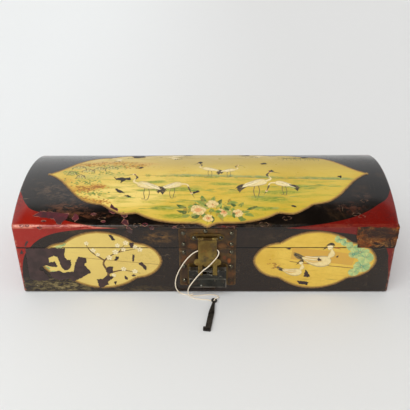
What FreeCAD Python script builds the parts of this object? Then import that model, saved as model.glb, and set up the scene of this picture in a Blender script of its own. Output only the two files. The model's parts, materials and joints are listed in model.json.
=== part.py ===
"""Long lacquered case with a domed lid, a brass hasp lock and a key on a string loop.

Frame: millimetres, +Z up, X along the case, the front faces -Y.
The origin is the centre of the flat underside.
The case is a board carcass wrapped in thin hide. A lid turns on two rear hinges.
A hasp hangs from the lid, its two tabs drop into the lock case on the base,
and a sliding bolt catches the loops behind the tabs.
"""
import FreeCAD, Part
import math
import os
from FreeCAD import Vector

# ---------------------------------------------------------------- driving sizes
case_length = 600.0          # outside, over the hide
case_depth = 228.0           # outside, front face to back face
base_height = 91.5           # floor to the rim of the base
seam_gap = 0.5               # open line between the two rims
lid_side_height = 41.5       # rim of the lid to its shoulder corner
lid_rise = 26.0              # shoulder corner to the ridge of the dome
shoulder_radius = 7.0
foot_radius = 4.0
end_edge_radius = 3.5

hide_thickness = 1.2
board_thickness = 9.0
bottom_thickness = 8.0
dome_thickness = 8.0
lining_thickness = 0.6

lip_thickness = 4.0          # strips inside the base that locate the lid
lip_below_rim = 28.0
lip_above_rim = 7.0
lip_clearance = 0.8

patch_thickness = 0.9        # worn hide patch round one lid corner
patch_front_length = 62.0
patch_end_length = 34.0
patch_rim_gap = 0.2
patch_shoulder_gap = 2.0

lock_offset = 4.5            # the lock stands this far right of the middle
plate_width = 90.5
plate_thickness = 1.2
plate_shoulder_gap = 0.6     # plate's top edge to the start of the shoulder's curve
plate_foot_gap = 12.5        # plate's bottom edge to the start of the foot's curve
plate_corner_radius = 3.0

nail_head_radius = 3.7
nail_head_height = 2.6
nail_shank_radius = 0.9
nail_shank_depth = 7.0       # below the face of the case
nail_side_inset = 7.8        # from the plate's side edge
nail_upper_inset = 8.0       # top and bottom rows of the upper plate
nail_lower_inset = 7.5       # first row under the seam
nail_bottom_inset = 11.0
top_nail_inset = 4.2
top_nail_shift = -3.0

pin_radius = 1.2
pin_above_rim = 20.0         # hasp pin above the rim of the lid
pin_clearance = 0.06
pin_end_length = 0.8
hasp_knuckle_radius = 2.6
knuckle_wall_gap = 0.4
knuckle_side_gap = 0.25
leaf_knuckle_length = 15.0   # middle knuckle, on the leaf
leaf_thickness = 1.2
leaf_band_height = 4.6
leaf_nail_spacing = 42.0
leaf_ear_radius = 5.4
leaf_nail_drop = 0.6         # ear nails sit just above the pin's line

hasp_width = 29.5
hasp_thickness = 1.6
lobe_radius = 5.8
lobe_above_case = 15.0       # centre of the side lobes over the lock case
lobe_reach = 21.5            # half width over the lobes
centre_lobe_radius = 8.0
centre_lobe_above_case = 13.5
skirt_above_case = 9.5       # lower edge of the hasp's skirt
tab_width = 7.0
tab_spacing = 23.5
loop_width = 4.0
loop_height = 6.0
loop_depth = 5.5
loop_hole_height = 3.8
loop_hole_depth = 3.2
loop_wall = 1.0              # behind the hole
loop_end_gap = 0.3           # tab end to the loop

lock_case_height = 34.5
lock_case_depth = 9.6        # stands off the cloud plate
lock_case_wall = 1.5
lock_case_above_plate = 4.0  # its bottom over the lower plate's bottom edge
notch_depth = 10.4
notch_side_gap = 0.75
tab_end_gap = 1.0
keyhole_width = 16.3
keyhole_height = 6.2
keyhole_below_top = 1.9
keyhole_shift = -0.85
ridge_below_keyhole = 9.0
ridge_height = 0.9
ridge_proud = 0.4

cloud_thickness = 1.2
cloud_side_reach = 2.0       # cloud plate shows this far past the lock case
cloud_nail_gap = 1.75        # cloud plate's side to the nail heads
cloud_shoulder_radius = 6.0
cloud_shoulder_rise = 1.5
cloud_lobe_radius = 7.5
cloud_lobe_spacing = 27.0
cloud_lobe_rise = 8.0
cloud_crown_radius = 9.0
cloud_crown_rise = 10.0

bolt_thickness = 2.4
bolt_bar_height = 5.0
bolt_finger_height = 3.0
bolt_post_width = 4.0
bolt_loop_gap = 0.8          # finger tip to the loop, when unlocked
bolt_stop_gap = 1.0
bolt_bar_below_notch = 7.1  # leaves the loops clear of the guides
bolt_travel = 6.0
guide_thickness = 1.0
guide_width = 5.0
guide_gap = 0.15
guide_post_gap = 0.5         # guide to the post that stops beside it
rivet_radius = 1.5
rivet_head_height = 0.8
spring_thickness = 0.4
spring_width = 3.0
spring_gap = 0.1             # spring's crown to the bolt's bar
spring_length = 20.0

hinge_spacing = 340.0
hinge_width = 44.0
hinge_leaf_height = 29.0
hinge_leaf_thickness = 1.2
hinge_knuckle_radius = 2.8
hinge_wall_gap = 0.3
hinge_pin_radius = 1.3
hinge_pin_clearance = 0.05
hinge_pin_head = 1.2
hinge_knuckle_gap = 0.3
hinge_middle_knuckle = 16.0
hinge_nail_head_radius = 3.0
hinge_nail_head_height = 2.0
hinge_nail_spacing = 28.0
hinge_nail_near_row = 9.0    # from the seam
hinge_nail_far_row = 22.5

string_radius = 0.9
knot_radius = 2.6
key_eye = Vector(14.9, -137.6, 3.1)
key_heading = 8.4            # degrees that the key's far end turns towards -X
key_thickness = 2.4
key_eye_radius = 4.6
key_eye_hole = 2.6
key_length = 68.5            # eye centre to the end of the bit
key_neck_width = 3.6
key_shaft_width = 9.0
key_taper_length = 24.0
key_bit_width = 12.0
key_bit_height = 5.2
key_bit_depth = 5.0
key_bit_shift = -1.6
key_pin_radius = 0.9
key_pin_length = 1.8
key_pin_spacing = 5.0

# ---------------------------------------------------------------- places worked out
half_length = case_length / 2
half_depth = case_depth / 2
lid_rim = base_height + seam_gap
shoulder_z = lid_rim + lid_side_height
ridge_z = shoulder_z + lid_rise
dome_radius = (half_depth ** 2 + lid_rise ** 2) / (2 * lid_rise)
dome_centre_z = ridge_z - dome_radius
shoulder_centre_y = half_depth - shoulder_radius
shoulder_centre_z = dome_centre_z + math.sqrt(
    (dome_radius - shoulder_radius) ** 2 - shoulder_centre_y ** 2)
far = case_length + case_depth   # longer than anything in the model

carcass_length = half_length - hide_thickness
inner_x = carcass_length - board_thickness
inner_y = half_depth - hide_thickness - board_thickness
floor_z = hide_thickness + bottom_thickness
dome_inner_radius = dome_radius - hide_thickness - dome_thickness

plate_top = shoulder_centre_z - plate_shoulder_gap
plate_bottom = foot_radius + plate_foot_gap
nail_column = plate_width / 2 - nail_side_inset
pin_z = lid_rim + pin_above_rim
pin_proud = plate_thickness + hasp_knuckle_radius + knuckle_wall_gap
knuckle_bore = pin_radius + pin_clearance

cloud_half_width = nail_column - nail_head_radius - cloud_nail_gap
lock_case_width = 2 * (cloud_half_width - cloud_side_reach)
cloud_front = plate_thickness + cloud_thickness
case_front = cloud_front + lock_case_depth
lock_case_bottom = plate_bottom + lock_case_above_plate
lock_case_top = lock_case_bottom + lock_case_height
tab_bottom = lock_case_top - notch_depth + tab_end_gap
tab_middle_proud = case_front - hasp_thickness / 2
hasp_drop = pin_z - tab_bottom
hasp_tilt = math.degrees(math.atan2(tab_middle_proud - pin_proud, hasp_drop))
hasp_length = math.hypot(tab_middle_proud - pin_proud, hasp_drop)

# The loops' holes sit square to the tilted hasp, and the bolt's fingers point at their middles.
loop_hole_down = hasp_length - loop_end_gap - loop_height / 2
loop_hole_behind = hasp_thickness / 2 + loop_depth - loop_wall - loop_hole_depth / 2
tilt = math.radians(hasp_tilt)
bolt_middle = pin_proud + loop_hole_down * math.sin(tilt) - loop_hole_behind * math.cos(tilt)
bolt_finger_z = pin_z - loop_hole_down * math.cos(tilt) - loop_hole_behind * math.sin(tilt)
bolt_front = bolt_middle + bolt_thickness / 2
bolt_back = bolt_middle - bolt_thickness / 2
bolt_finger_length = bolt_post_width + bolt_travel
finger_tips = [side * tab_spacing / 2 - loop_width / 2 - bolt_loop_gap for side in (-1, 1)]
bolt_bar_top = lock_case_top - notch_depth - bolt_bar_below_notch
spring_rise = bolt_back - cloud_front - spring_thickness - spring_gap
axis_y = half_depth + hinge_knuckle_radius + hinge_wall_gap
axis_z = base_height + seam_gap / 2


# ---------------------------------------------------------------- small helpers
def block(x0, x1, y0, y1, z0, z1):
    return Part.makeBox(x1 - x0, y1 - y0, z1 - z0, Vector(x0, y0, z0))


def front_block(x0, x1, proud0, proud1, z0, z1):
    """A block on the front face, x from the middle of the lock, proud measured outwards."""
    return block(lock_offset + x0, lock_offset + x1,
                 -half_depth - proud1, -half_depth - proud0, z0, z1)


def front_disc(x, z, radius, proud0, proud1):
    return Part.makeCylinder(radius, proud1 - proud0,
                             Vector(lock_offset + x, -half_depth - proud0, z), Vector(0, -1, 0))


def rod_x(x0, x1, y, z, radius):
    return Part.makeCylinder(radius, x1 - x0, Vector(x0, y, z), Vector(1, 0, 0))


def pin_rod(x0, x1, radius):
    """A round bar on the hasp pin's axis."""
    return rod_x(lock_offset + x0, lock_offset + x1, -half_depth - pin_proud, pin_z, radius)


def axis_rod(x0, x1, radius):
    """A round bar on the rear hinge axis."""
    return rod_x(x0, x1, axis_y, axis_z, radius)


def join(shapes):
    first, rest = shapes[0], list(shapes[1:])
    return first.fuse(rest).removeSplitter() if rest else first


def save(name, shape):
    solids = shape.Solids
    for solid in solids:
        if not solid.isValid() or solid.Volume <= 0:
            raise ValueError(name + " has a bad solid")
    kept = solids[0] if len(solids) == 1 else Part.Compound(solids)
    kept.exportStep("parts/" + name + ".step")
    print("%-24s %2d solid(s)  %10.1f mm3" % (name, len(solids), shape.Volume))


# ---------------------------------------------------------------- the case's outer form
def chest_form(inset):
    """The whole closed case, shrunk by inset on every side, with concentric roundings."""
    side = half_depth - inset
    bottom = inset
    radius = dome_radius - inset
    shoulder = shoulder_radius - inset
    foot = foot_radius - inset
    foot_y = half_depth - foot_radius
    lean = math.atan2(shoulder_centre_y, shoulder_centre_z - dome_centre_z)
    top_y = radius * math.sin(lean)
    top_z = dome_centre_z + radius * math.cos(lean)
    half_lean = (math.pi / 2 + lean) / 2
    bend_y = shoulder_centre_y + shoulder * math.sin(half_lean)
    bend_z = shoulder_centre_z + shoulder * math.cos(half_lean)
    slant = foot * math.sqrt(0.5)

    def at(y, z):
        return Vector(-half_length + inset, y, z)

    outline = [
        Part.LineSegment(at(-foot_y, bottom), at(foot_y, bottom)),
        Part.Arc(at(foot_y, bottom), at(foot_y + slant, foot_radius - slant), at(side, foot_radius)),
        Part.LineSegment(at(side, foot_radius), at(side, shoulder_centre_z)),
        Part.Arc(at(side, shoulder_centre_z), at(bend_y, bend_z), at(top_y, top_z)),
        Part.Arc(at(top_y, top_z), at(0, dome_centre_z + radius), at(-top_y, top_z)),
        Part.Arc(at(-top_y, top_z), at(-bend_y, bend_z), at(-side, shoulder_centre_z)),
        Part.LineSegment(at(-side, shoulder_centre_z), at(-side, foot_radius)),
        Part.Arc(at(-side, foot_radius), at(-foot_y - slant, foot_radius - slant), at(-foot_y, bottom)),
    ]
    face = Part.Face(Part.Wire([line.toShape() for line in outline]))
    form = face.extrude(Vector(2 * (half_length - inset), 0, 0))
    end_x = half_length - inset
    end_edges = [e for e in form.Edges
                 if abs(abs(e.BoundBox.XMin) - end_x) < 1e-6 and e.BoundBox.XLength < 1e-6]
    return form.makeFillet(end_edge_radius - inset, end_edges)


def below(shape, z):
    return shape.common(block(-far, far, -far, far, -far, z))


def above(shape, z):
    return shape.common(block(-far, far, -far, far, z, far))


def dome_bore(radius):
    """The long cylinder under the dome board, to cut it or to trim what stands below it."""
    return rod_x(-far, far, 0, dome_centre_z, radius)


# ---------------------------------------------------------------- nails
def front_nail(x, z, proud):
    """A dome-headed nail driven into the front, its head on a surface at proud."""
    ball = (nail_head_radius ** 2 + nail_head_height ** 2) / (2 * nail_head_height)
    centre = Vector(lock_offset + x, -half_depth - proud + ball - nail_head_height, z)
    head = Part.makeSphere(ball, centre).common(
        front_disc(x, z, 2 * nail_head_radius, proud, proud + 2 * nail_head_height))
    return head.fuse(front_disc(x, z, nail_shank_radius, -nail_shank_depth, proud)).removeSplitter()


def front_hole(x, z):
    return front_disc(x, z, nail_shank_radius, -nail_shank_depth, 3 * case_front)


def rear_nail(x, z):
    """A dome-headed nail driven into the back, through a hinge leaf."""
    ball = (hinge_nail_head_radius ** 2 + hinge_nail_head_height ** 2) / (2 * hinge_nail_head_height)
    seat = half_depth + hinge_leaf_thickness
    sphere = Part.makeSphere(ball, Vector(x, seat + hinge_nail_head_height - ball, z))
    head = sphere.common(Part.makeCylinder(2 * hinge_nail_head_radius, 2 * hinge_nail_head_height,
                                           Vector(x, seat, z), Vector(0, 1, 0)))
    return head.fuse(rear_hole(x, z, seat)).removeSplitter()


def rear_hole(x, z, end_y):
    start = half_depth - nail_shank_depth
    return Part.makeCylinder(nail_shank_radius, end_y - start, Vector(x, start, z), Vector(0, 1, 0))


upper_rows = [lid_rim + nail_upper_inset, plate_top - nail_upper_inset]
lower_rows = [base_height - nail_lower_inset,
              (base_height - nail_lower_inset + plate_bottom + nail_bottom_inset) / 2,
              plate_bottom + nail_bottom_inset]
upper_nail_places = [(side * nail_column, z) for side in (-1, 1) for z in upper_rows]
upper_nail_places.append((top_nail_shift, plate_top - top_nail_inset))
lower_hole_places = [(side * nail_column, z) for side in (-1, 1) for z in lower_rows]
lower_nail_places = lower_hole_places[:-1]     # the last hole has lost its nail
leaf_nail_places = [(side * leaf_nail_spacing / 2, pin_z + leaf_nail_drop) for side in (-1, 1)]
hinge_middles = [-hinge_spacing / 2, hinge_spacing / 2]
hinge_rows = [hinge_nail_near_row, hinge_nail_far_row]


def hinge_nail_places(middle, up):
    return [(middle + side * hinge_nail_spacing / 2, axis_z + up * row)
            for side in (-1, 1) for row in hinge_rows]


lid_holes = [front_hole(x, z) for x, z in upper_nail_places + leaf_nail_places]
base_holes = [front_hole(x, z) for x, z in lower_hole_places]
for hinge_middle in hinge_middles:
    lid_holes += [rear_hole(x, z, far) for x, z in hinge_nail_places(hinge_middle, 1)]
    base_holes += [rear_hole(x, z, far) for x, z in hinge_nail_places(hinge_middle, -1)]


# ---------------------------------------------------------------- base
def make_base():
    skin = chest_form(0)
    core = chest_form(hide_thickness)
    core_base = below(core, base_height)
    long_side = block(-far, far, -far, -inner_y, -far, far)
    long_back = block(-far, far, inner_y, far, -far, far)
    save("base_front_board", core_base.common(long_side).cut(base_holes))
    save("base_back_board", core_base.common(long_back).cut(base_holes))
    save("base_left_end", core_base.common(block(-far, -inner_x, -inner_y, inner_y, -far, far)))
    save("base_right_end", core_base.common(block(inner_x, far, -inner_y, inner_y, -far, far)))
    save("base_bottom_board", block(-inner_x, inner_x, -inner_y, inner_y, hide_thickness, floor_z))
    wrap = above(below(skin, base_height), hide_thickness).cut([core] + base_holes)
    save("base_side_hide", wrap)
    save("base_bottom_hide", below(skin, hide_thickness))


def make_base_lining():
    t = lining_thickness
    room = block(-inner_x, inner_x, -inner_y, inner_y, floor_z, base_height)
    hollow = block(-inner_x + t, inner_x - t, -inner_y + t, inner_y - t, floor_z + t, far)
    save("base_lining", room.cut(hollow))


def make_lip_strips():
    """Four strips stand against the lining, and their tops step in to clear the lid."""
    x, y = inner_x - lining_thickness, inner_y - lining_thickness
    low, high = base_height - lip_below_rim, base_height + lip_above_rim
    inner_lip_x, inner_lip_y = x - lip_thickness, y - lip_thickness
    ring = block(-x, x, -y, y, low, high).cut(
        block(-inner_lip_x, inner_lip_x, -inner_lip_y, inner_lip_y, -far, far))
    step = block(-far, far, -far, far, base_height, far).cut(
        block(-x + lip_clearance, x - lip_clearance, -y + lip_clearance, y - lip_clearance, -far, far))
    ring = ring.cut(step)
    save("lip_front", ring.common(block(-far, far, -far, -inner_lip_y, -far, far)))
    save("lip_back", ring.common(block(-far, far, inner_lip_y, far, -far, far)))
    save("lip_left", ring.common(block(-far, -inner_lip_x, -inner_lip_y, inner_lip_y, -far, far)))
    save("lip_right", ring.common(block(inner_lip_x, far, -inner_lip_y, inner_lip_y, -far, far)))


# ---------------------------------------------------------------- lid
def make_lid():
    skin = chest_form(0)
    core = chest_form(hide_thickness)
    core_lid = above(core, lid_rim)
    under_dome = dome_bore(dome_inner_radius)
    save("lid_dome_board", core_lid.cut([under_dome] + lid_holes))
    sides = core_lid.common(under_dome)
    save("lid_front_board", sides.common(block(-far, far, -far, -inner_y, -far, far)).cut(lid_holes))
    save("lid_back_board", sides.common(block(-far, far, inner_y, far, -far, far)).cut(lid_holes))
    save("lid_left_end", sides.common(block(-far, -inner_x, -inner_y, inner_y, -far, far)))
    save("lid_right_end", sides.common(block(inner_x, far, -inner_y, inner_y, -far, far)))
    save("lid_hide", above(skin, lid_rim).cut([core] + lid_holes))


def make_lid_lining():
    t = lining_thickness

    def room(inset):
        walls = block(-inner_x + inset, inner_x - inset, -inner_y + inset, inner_y - inset, lid_rim, far)
        return walls.common(dome_bore(dome_inner_radius - inset))

    save("lid_lining", room(0).cut(room(t)))


def make_corner_patch():
    """A thin patch over the worn front corner of the lid."""
    window = block(half_length - patch_front_length, far, -far, -half_depth + patch_end_length,
                   lid_rim + patch_rim_gap, shoulder_centre_z + patch_shoulder_gap)
    save("corner_patch", chest_form(-patch_thickness).cut(chest_form(0)).common(window))


# ---------------------------------------------------------------- lock plates
def rounded_plate(z0, z1, top):
    """A flat plate; its two free corners, at the top or the bottom, are rounded."""
    plate = front_block(-plate_width / 2, plate_width / 2, 0, plate_thickness, z0, z1)
    level = z1 if top else z0
    corners = [e for e in plate.Edges
               if abs(e.BoundBox.ZMin - level) < 1e-6 and e.BoundBox.ZLength < 1e-6
               and e.BoundBox.XLength < 1e-6]
    return plate.makeFillet(plate_corner_radius, corners)


def make_lock_plates():
    save("lock_plate_upper", rounded_plate(lid_rim, plate_top, True).cut(lid_holes))
    save("lock_plate_lower", rounded_plate(plate_bottom, base_height, False).cut(base_holes))
    save("upper_plate_nails", Part.Compound(
        [front_nail(x, z, plate_thickness) for x, z in upper_nail_places]))
    save("lower_plate_nails", Part.Compound(
        [front_nail(x, z, plate_thickness) for x, z in lower_nail_places]))


# ---------------------------------------------------------------- hasp and its pin
def make_hasp_leaf():
    """The fixed leaf: a band over the pin, an ear round each nail, and the middle knuckle."""
    back, front = plate_thickness, plate_thickness + leaf_thickness
    band_bottom = pin_z + hasp_knuckle_radius + knuckle_wall_gap
    reach = leaf_nail_spacing / 2
    half_knuckle = leaf_knuckle_length / 2
    band_top = band_bottom + leaf_band_height
    pieces = [front_block(-reach, reach, back, front, band_bottom, band_top)]
    for x, z in leaf_nail_places:
        inner = x - math.copysign(leaf_ear_radius, x)
        pieces.append(front_disc(x, z, leaf_ear_radius, back, front))
        pieces.append(front_block(min(inner, x), max(inner, x), back, front, z, band_top))
    pieces.append(front_block(-half_knuckle, half_knuckle, back, front, pin_z, band_top))
    pieces.append(front_block(-half_knuckle, half_knuckle, back, pin_proud, pin_z,
                              pin_z + hasp_knuckle_radius))
    pieces.append(pin_rod(-half_knuckle, half_knuckle, hasp_knuckle_radius))
    clear = hasp_width / 2 + 2 * knuckle_side_gap
    room_for_hasp = [pin_rod(side * half_knuckle if side > 0 else -clear,
                             clear if side > 0 else -half_knuckle,
                             hasp_knuckle_radius + knuckle_side_gap) for side in (-1, 1)]
    leaf = join(pieces).cut([pin_rod(-far, far, knuckle_bore)] + room_for_hasp + lid_holes)
    save("hasp_leaf", leaf)
    save("hasp_leaf_nails", Part.Compound([front_nail(x, z, front) for x, z in leaf_nail_places]))
    half_pin = hasp_width / 2 + knuckle_side_gap + pin_end_length
    save("hasp_pin", pin_rod(-half_pin, half_pin, pin_radius))


def hang(shape):
    """Tilts a shape, drawn straight down from the pin, out to meet the lock case."""
    turned = shape.copy()
    turned.rotate(Vector(lock_offset, -half_depth - pin_proud, pin_z), Vector(1, 0, 0), -hasp_tilt)
    return turned


def make_hasp():
    """Drawn hanging straight down from the pin, with down measured from the pin's axis."""
    back = pin_proud - hasp_thickness / 2
    front = pin_proud + hasp_thickness / 2

    def sheet(x0, x1, down0, down1):
        return front_block(x0, x1, back, front, pin_z - down1, pin_z - down0)

    def lobe(x, down, radius):
        return front_disc(x, pin_z - down, radius, back, front)

    half = hasp_width / 2
    case_line = hasp_length - notch_depth + tab_end_gap       # down to the lock case's top
    lobe_down = case_line - lobe_above_case
    skirt_down = case_line - skirt_above_case
    lobe_x = lobe_reach - lobe_radius
    pieces = [sheet(-half, half, 0, skirt_down)]
    for side in (-1, 1):
        outer = side * (tab_spacing / 2 + tab_width / 2)
        inner = side * (tab_spacing / 2 - tab_width / 2)
        pieces.append(sheet(min(outer, inner), max(outer, inner), lobe_down, hasp_length))
        pieces.append(lobe(side * lobe_x, lobe_down, lobe_radius))
    pieces.append(lobe(0, case_line - centre_lobe_above_case, centre_lobe_radius))
    half_gap = leaf_knuckle_length / 2 + knuckle_side_gap
    for side in (-1, 1):
        ends = sorted([side * half_gap, side * half])
        pieces.append(pin_rod(ends[0], ends[1], hasp_knuckle_radius))
    middle_relief = pin_rod(-half_gap, half_gap, hasp_knuckle_radius + knuckle_side_gap)
    plate = join(pieces).cut([middle_relief, pin_rod(-far, far, knuckle_bore)])
    save("hasp_plate", hang(plate))

    loops = []
    for side in (-1, 1):
        x = side * tab_spacing / 2
        low = pin_z - hasp_length + loop_end_gap
        body = front_block(x - loop_width / 2, x + loop_width / 2, back - loop_depth, back,
                           low, low + loop_height)
        margin = (loop_height - loop_hole_height) / 2
        hole = front_block(x - loop_width, x + loop_width, back - loop_depth + loop_wall,
                           back - loop_depth + loop_wall + loop_hole_depth,
                           low + margin, low + loop_height - margin)
        loops.append(hang(body.cut(hole)))
    save("hasp_loops", Part.Compound(loops))


# ---------------------------------------------------------------- lock case on the base
def make_cloud_plate():
    """A flat plate with a stepped cloud outline, between the lock case and the lower plate."""
    back, front = plate_thickness, cloud_front
    half = cloud_half_width
    shoulder_x = half - cloud_shoulder_radius
    shoulder_line = lock_case_top + cloud_shoulder_rise
    pieces = [
        front_block(-half, half, back, front, lock_case_bottom, shoulder_line),
        front_block(-shoulder_x, shoulder_x, back, front, lock_case_bottom,
                    shoulder_line + cloud_shoulder_radius),
        front_disc(0, lock_case_top + cloud_crown_rise, cloud_crown_radius, back, front),
    ]
    for side in (-1, 1):
        pieces.append(front_disc(side * shoulder_x, shoulder_line, cloud_shoulder_radius, back, front))
        pieces.append(front_disc(side * cloud_lobe_spacing / 2, lock_case_top + cloud_lobe_rise,
                                 cloud_lobe_radius, back, front))
    save("cloud_plate", join(pieces).cut(base_holes))


def rivet_places():
    return [(tip + guide_post_gap + guide_width / 2, bolt_bar_top - bolt_bar_height / 2)
            for tip in finger_tips]


def make_lock_case():
    half = lock_case_width / 2
    wall = lock_case_wall
    shell = front_block(-half, half, cloud_front, case_front, lock_case_bottom, lock_case_top)
    edges = [e for e in shell.Edges
             if abs(e.BoundBox.YMin + half_depth + case_front) < 1e-6 and e.BoundBox.YLength < 1e-6]
    shell = shell.makeFillet(wall / 2, edges)
    hollow = front_block(-half + wall, half - wall, cloud_front, case_front - wall,
                         lock_case_bottom + wall, lock_case_top - wall)
    cuts = [hollow]
    notch = tab_width / 2 + notch_side_gap
    for side in (-1, 1):
        x = side * tab_spacing / 2
        cuts.append(front_block(x - notch, x + notch, cloud_front, 2 * case_front,
                                lock_case_top - notch_depth, lock_case_top + wall))
    slot_top = lock_case_top - keyhole_below_top
    slot_bottom = slot_top - keyhole_height
    cuts.append(front_block(keyhole_shift - keyhole_width / 2, keyhole_shift + keyhole_width / 2,
                            case_front - 2 * wall, 2 * case_front, slot_bottom, slot_top))
    cuts += [front_disc(x, z, rivet_radius / 2, cloud_front, 2 * case_front) for x, z in rivet_places()]
    ridge_z = slot_bottom - ridge_below_keyhole
    ridge = front_block(-half + wall, half - wall, case_front - wall, case_front + ridge_proud,
                        ridge_z, ridge_z + ridge_height)
    save("lock_case", shell.fuse(ridge).cut(cuts).removeSplitter())


def make_bolt():
    """A bar with two upright posts; each post carries a finger that points at a loop."""
    front, back = bolt_front, bolt_back
    bar_bottom = bolt_bar_top - bolt_bar_height
    finger_low = bolt_finger_z - bolt_finger_height / 2
    finger_high = bolt_finger_z + bolt_finger_height / 2
    pieces = []
    for tip in finger_tips:
        root = tip - bolt_finger_length
        pieces.append(front_block(root, tip, back, front, finger_low, finger_high))
        pieces.append(front_block(root, root + bolt_post_width, back, front, bar_bottom, finger_high))
    left = finger_tips[0] - bolt_finger_length
    right = lock_case_width / 2 - lock_case_wall - bolt_stop_gap - bolt_travel
    pieces.append(front_block(left, right, back, front, bar_bottom, bolt_bar_top))
    key_post = finger_tips[1] - bolt_finger_length + bolt_post_width / 2
    socket = front_disc(key_post, bolt_finger_z, key_pin_radius + guide_gap, back, front)
    save("lock_bolt", join(pieces).cut(socket))


def make_bolt_guides():
    """Two bent straps inside the lock case, riveted through its front, carry the bolt's bar."""
    guides = []
    rivets = []
    inside = case_front - lock_case_wall
    for x, z in rivet_places():
        low, high = bolt_bar_top - bolt_bar_height - guide_gap, bolt_bar_top + guide_gap
        strap = front_block(x - guide_width / 2, x + guide_width / 2,
                            bolt_back - guide_gap - guide_thickness, inside,
                            low - guide_thickness, high + guide_thickness)
        tunnel = front_block(x - guide_width, x + guide_width,
                             bolt_back - guide_gap, bolt_front + guide_gap, low, high)
        hole = front_disc(x, z, rivet_radius / 2, bolt_front + guide_gap, 2 * case_front)
        guides.append(strap.cut([tunnel, hole]))
        head = front_disc(x, z, rivet_radius, case_front, case_front + rivet_head_height)
        crown_y = -half_depth - case_front - rivet_head_height
        rim = [e for e in head.Edges
               if abs(e.BoundBox.YMin - crown_y) < 1e-6 and e.BoundBox.YLength < 1e-6]
        head = head.makeFillet(rivet_head_height / 2, rim)
        rivets.append(head.fuse(front_disc(x, z, rivet_radius / 2, bolt_front + guide_gap, case_front)))
    save("bolt_guides", Part.Compound(guides))
    save("lock_case_rivets", Part.Compound(rivets))


def make_bolt_spring():
    """A bowed leaf spring between the cloud plate and the bolt's bar."""
    z = bolt_bar_top - bolt_bar_height / 2
    y0 = -half_depth - cloud_front
    half = spring_length / 2
    x = lock_offset

    def bow(lift):
        return Part.Arc(Vector(x - half, y0 - lift, z), Vector(x, y0 - spring_rise - lift, z),
                        Vector(x + half, y0 - lift, z)).toShape()

    inner, outer = bow(0), bow(spring_thickness)
    thickness = Vector(0, -spring_thickness, 0)
    tips = [Vector(x + side * half, y0, z) for side in (-1, 1)]
    ends = [Part.LineSegment(tip, tip + thickness).toShape() for tip in tips]
    face = Part.Face(Part.Wire(Part.__sortEdges__([inner, ends[1], outer, ends[0]])))
    face.translate(Vector(0, 0, -spring_width / 2))
    save("bolt_spring", face.extrude(Vector(0, 0, spring_width)))


# ---------------------------------------------------------------- rear hinges
def make_hinge(side_name, middle):
    half = hinge_width / 2
    inner = hinge_middle_knuckle / 2
    gap = hinge_knuckle_gap
    back, front = half_depth + hinge_leaf_thickness, half_depth
    bore = axis_rod(middle - far, middle + far, hinge_pin_radius + hinge_pin_clearance)
    clear = hinge_knuckle_radius + gap

    def leaf(z0, z1):
        return block(middle - half, middle + half, front, back, z0, z1)

    base_rooms = axis_rod(middle - inner - gap, middle + inner + gap, clear)
    base_knuckles = [axis_rod(middle - half, middle - inner - gap, hinge_knuckle_radius),
                     axis_rod(middle + inner + gap, middle + half, hinge_knuckle_radius)]
    base_leaf = join([leaf(base_height - hinge_leaf_height, base_height)] + base_knuckles)
    save("hinge_%s_base_leaf" % side_name, base_leaf.cut([base_rooms, bore] + base_holes))

    lid_rooms = [axis_rod(middle - half - gap, middle - inner, clear),
                 axis_rod(middle + inner, middle + half + gap, clear)]
    lid_leaf = join([leaf(lid_rim, lid_rim + hinge_leaf_height),
                     axis_rod(middle - inner, middle + inner, hinge_knuckle_radius)])
    save("hinge_%s_lid_leaf" % side_name, lid_leaf.cut(lid_rooms + [bore] + lid_holes))

    head_radius = (hinge_pin_radius + hinge_knuckle_radius) / 2
    pin = join([axis_rod(middle - half - hinge_pin_head, middle + half + hinge_pin_head, hinge_pin_radius),
                axis_rod(middle - half - hinge_pin_head, middle - half, head_radius),
                axis_rod(middle + half, middle + half + hinge_pin_head, head_radius)])
    save("hinge_%s_pin" % side_name, pin)


def make_hinge_nails():
    for name, up in (("hinge_lid_nails", 1), ("hinge_base_nails", -1)):
        nails = [rear_nail(x, z) for middle in hinge_middles for x, z in hinge_nail_places(middle, up)]
        save(name, Part.Compound(nails))


# ---------------------------------------------------------------- string, knot and key
# The string is one loop. It starts behind the hasp, leaves it on the left, comes down to the
# ground, runs to the key, turns through the key's eye, and goes back up over the hasp's front.
string_route = [
    (0.4, -118.0, 91.3), (-10.6, -117.9, 89.4), (-20.9, -117.6, 81.7), (-30.2, -118.0, 70.2),
    (-37.9, -118.0, 56.6), (-44.4, -117.3, 42.0), (-48.2, -116.5, 27.6), (-48.6, -116.4, 14.4),
    (-45.2, -117.2, 5.4), (-38.8, -118.4, 0.95), (-31.0, -120.9, 0.95), (-22.6, -122.9, 0.95),
    (-14.2, -124.2, 0.95), (-5.4, -122.1, 0.95), (4.4, -120.9, 0.95), (14.4, -121.0, 0.95),
    (21.6, -124.6, 0.95), (22.9, -130.0, 3.0), (20.0, -133.6, 5.4), (15.4, -136.9, 5.7),
    (14.4, -137.9, 0.95), (9.8, -135.5, 0.95), (3.2, -133.1, 0.95), (-6.6, -132.7, 0.95),
    (-15.4, -130.7, 0.95), (-22.6, -127.4, 0.95), (-26.9, -124.3, 4.2), (-28.0, -124.7, 11.0),
    (-27.0, -127.2, 19.0), (-23.6, -127.8, 27.0), (-17.4, -127.9, 37.0), (-10.0, -127.9, 47.9),
    (-2.4, -127.2, 57.0), (4.6, -126.1, 61.9), (11.0, -125.2, 69.4), (19.2, -124.3, 79.8),
    (22.9, -122.4, 87.3), (20.9, -118.6, 90.6), (14.2, -117.9, 91.8), (7.8, -118.2, 91.6),
    (1.4, -118.0, 91.4),
]
arc_share = 0.45
knot_centre = Vector(-24.4, -124.4, knot_radius)
knot_tail_tip = Vector(-19.2, -123.0, 4.6)


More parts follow.
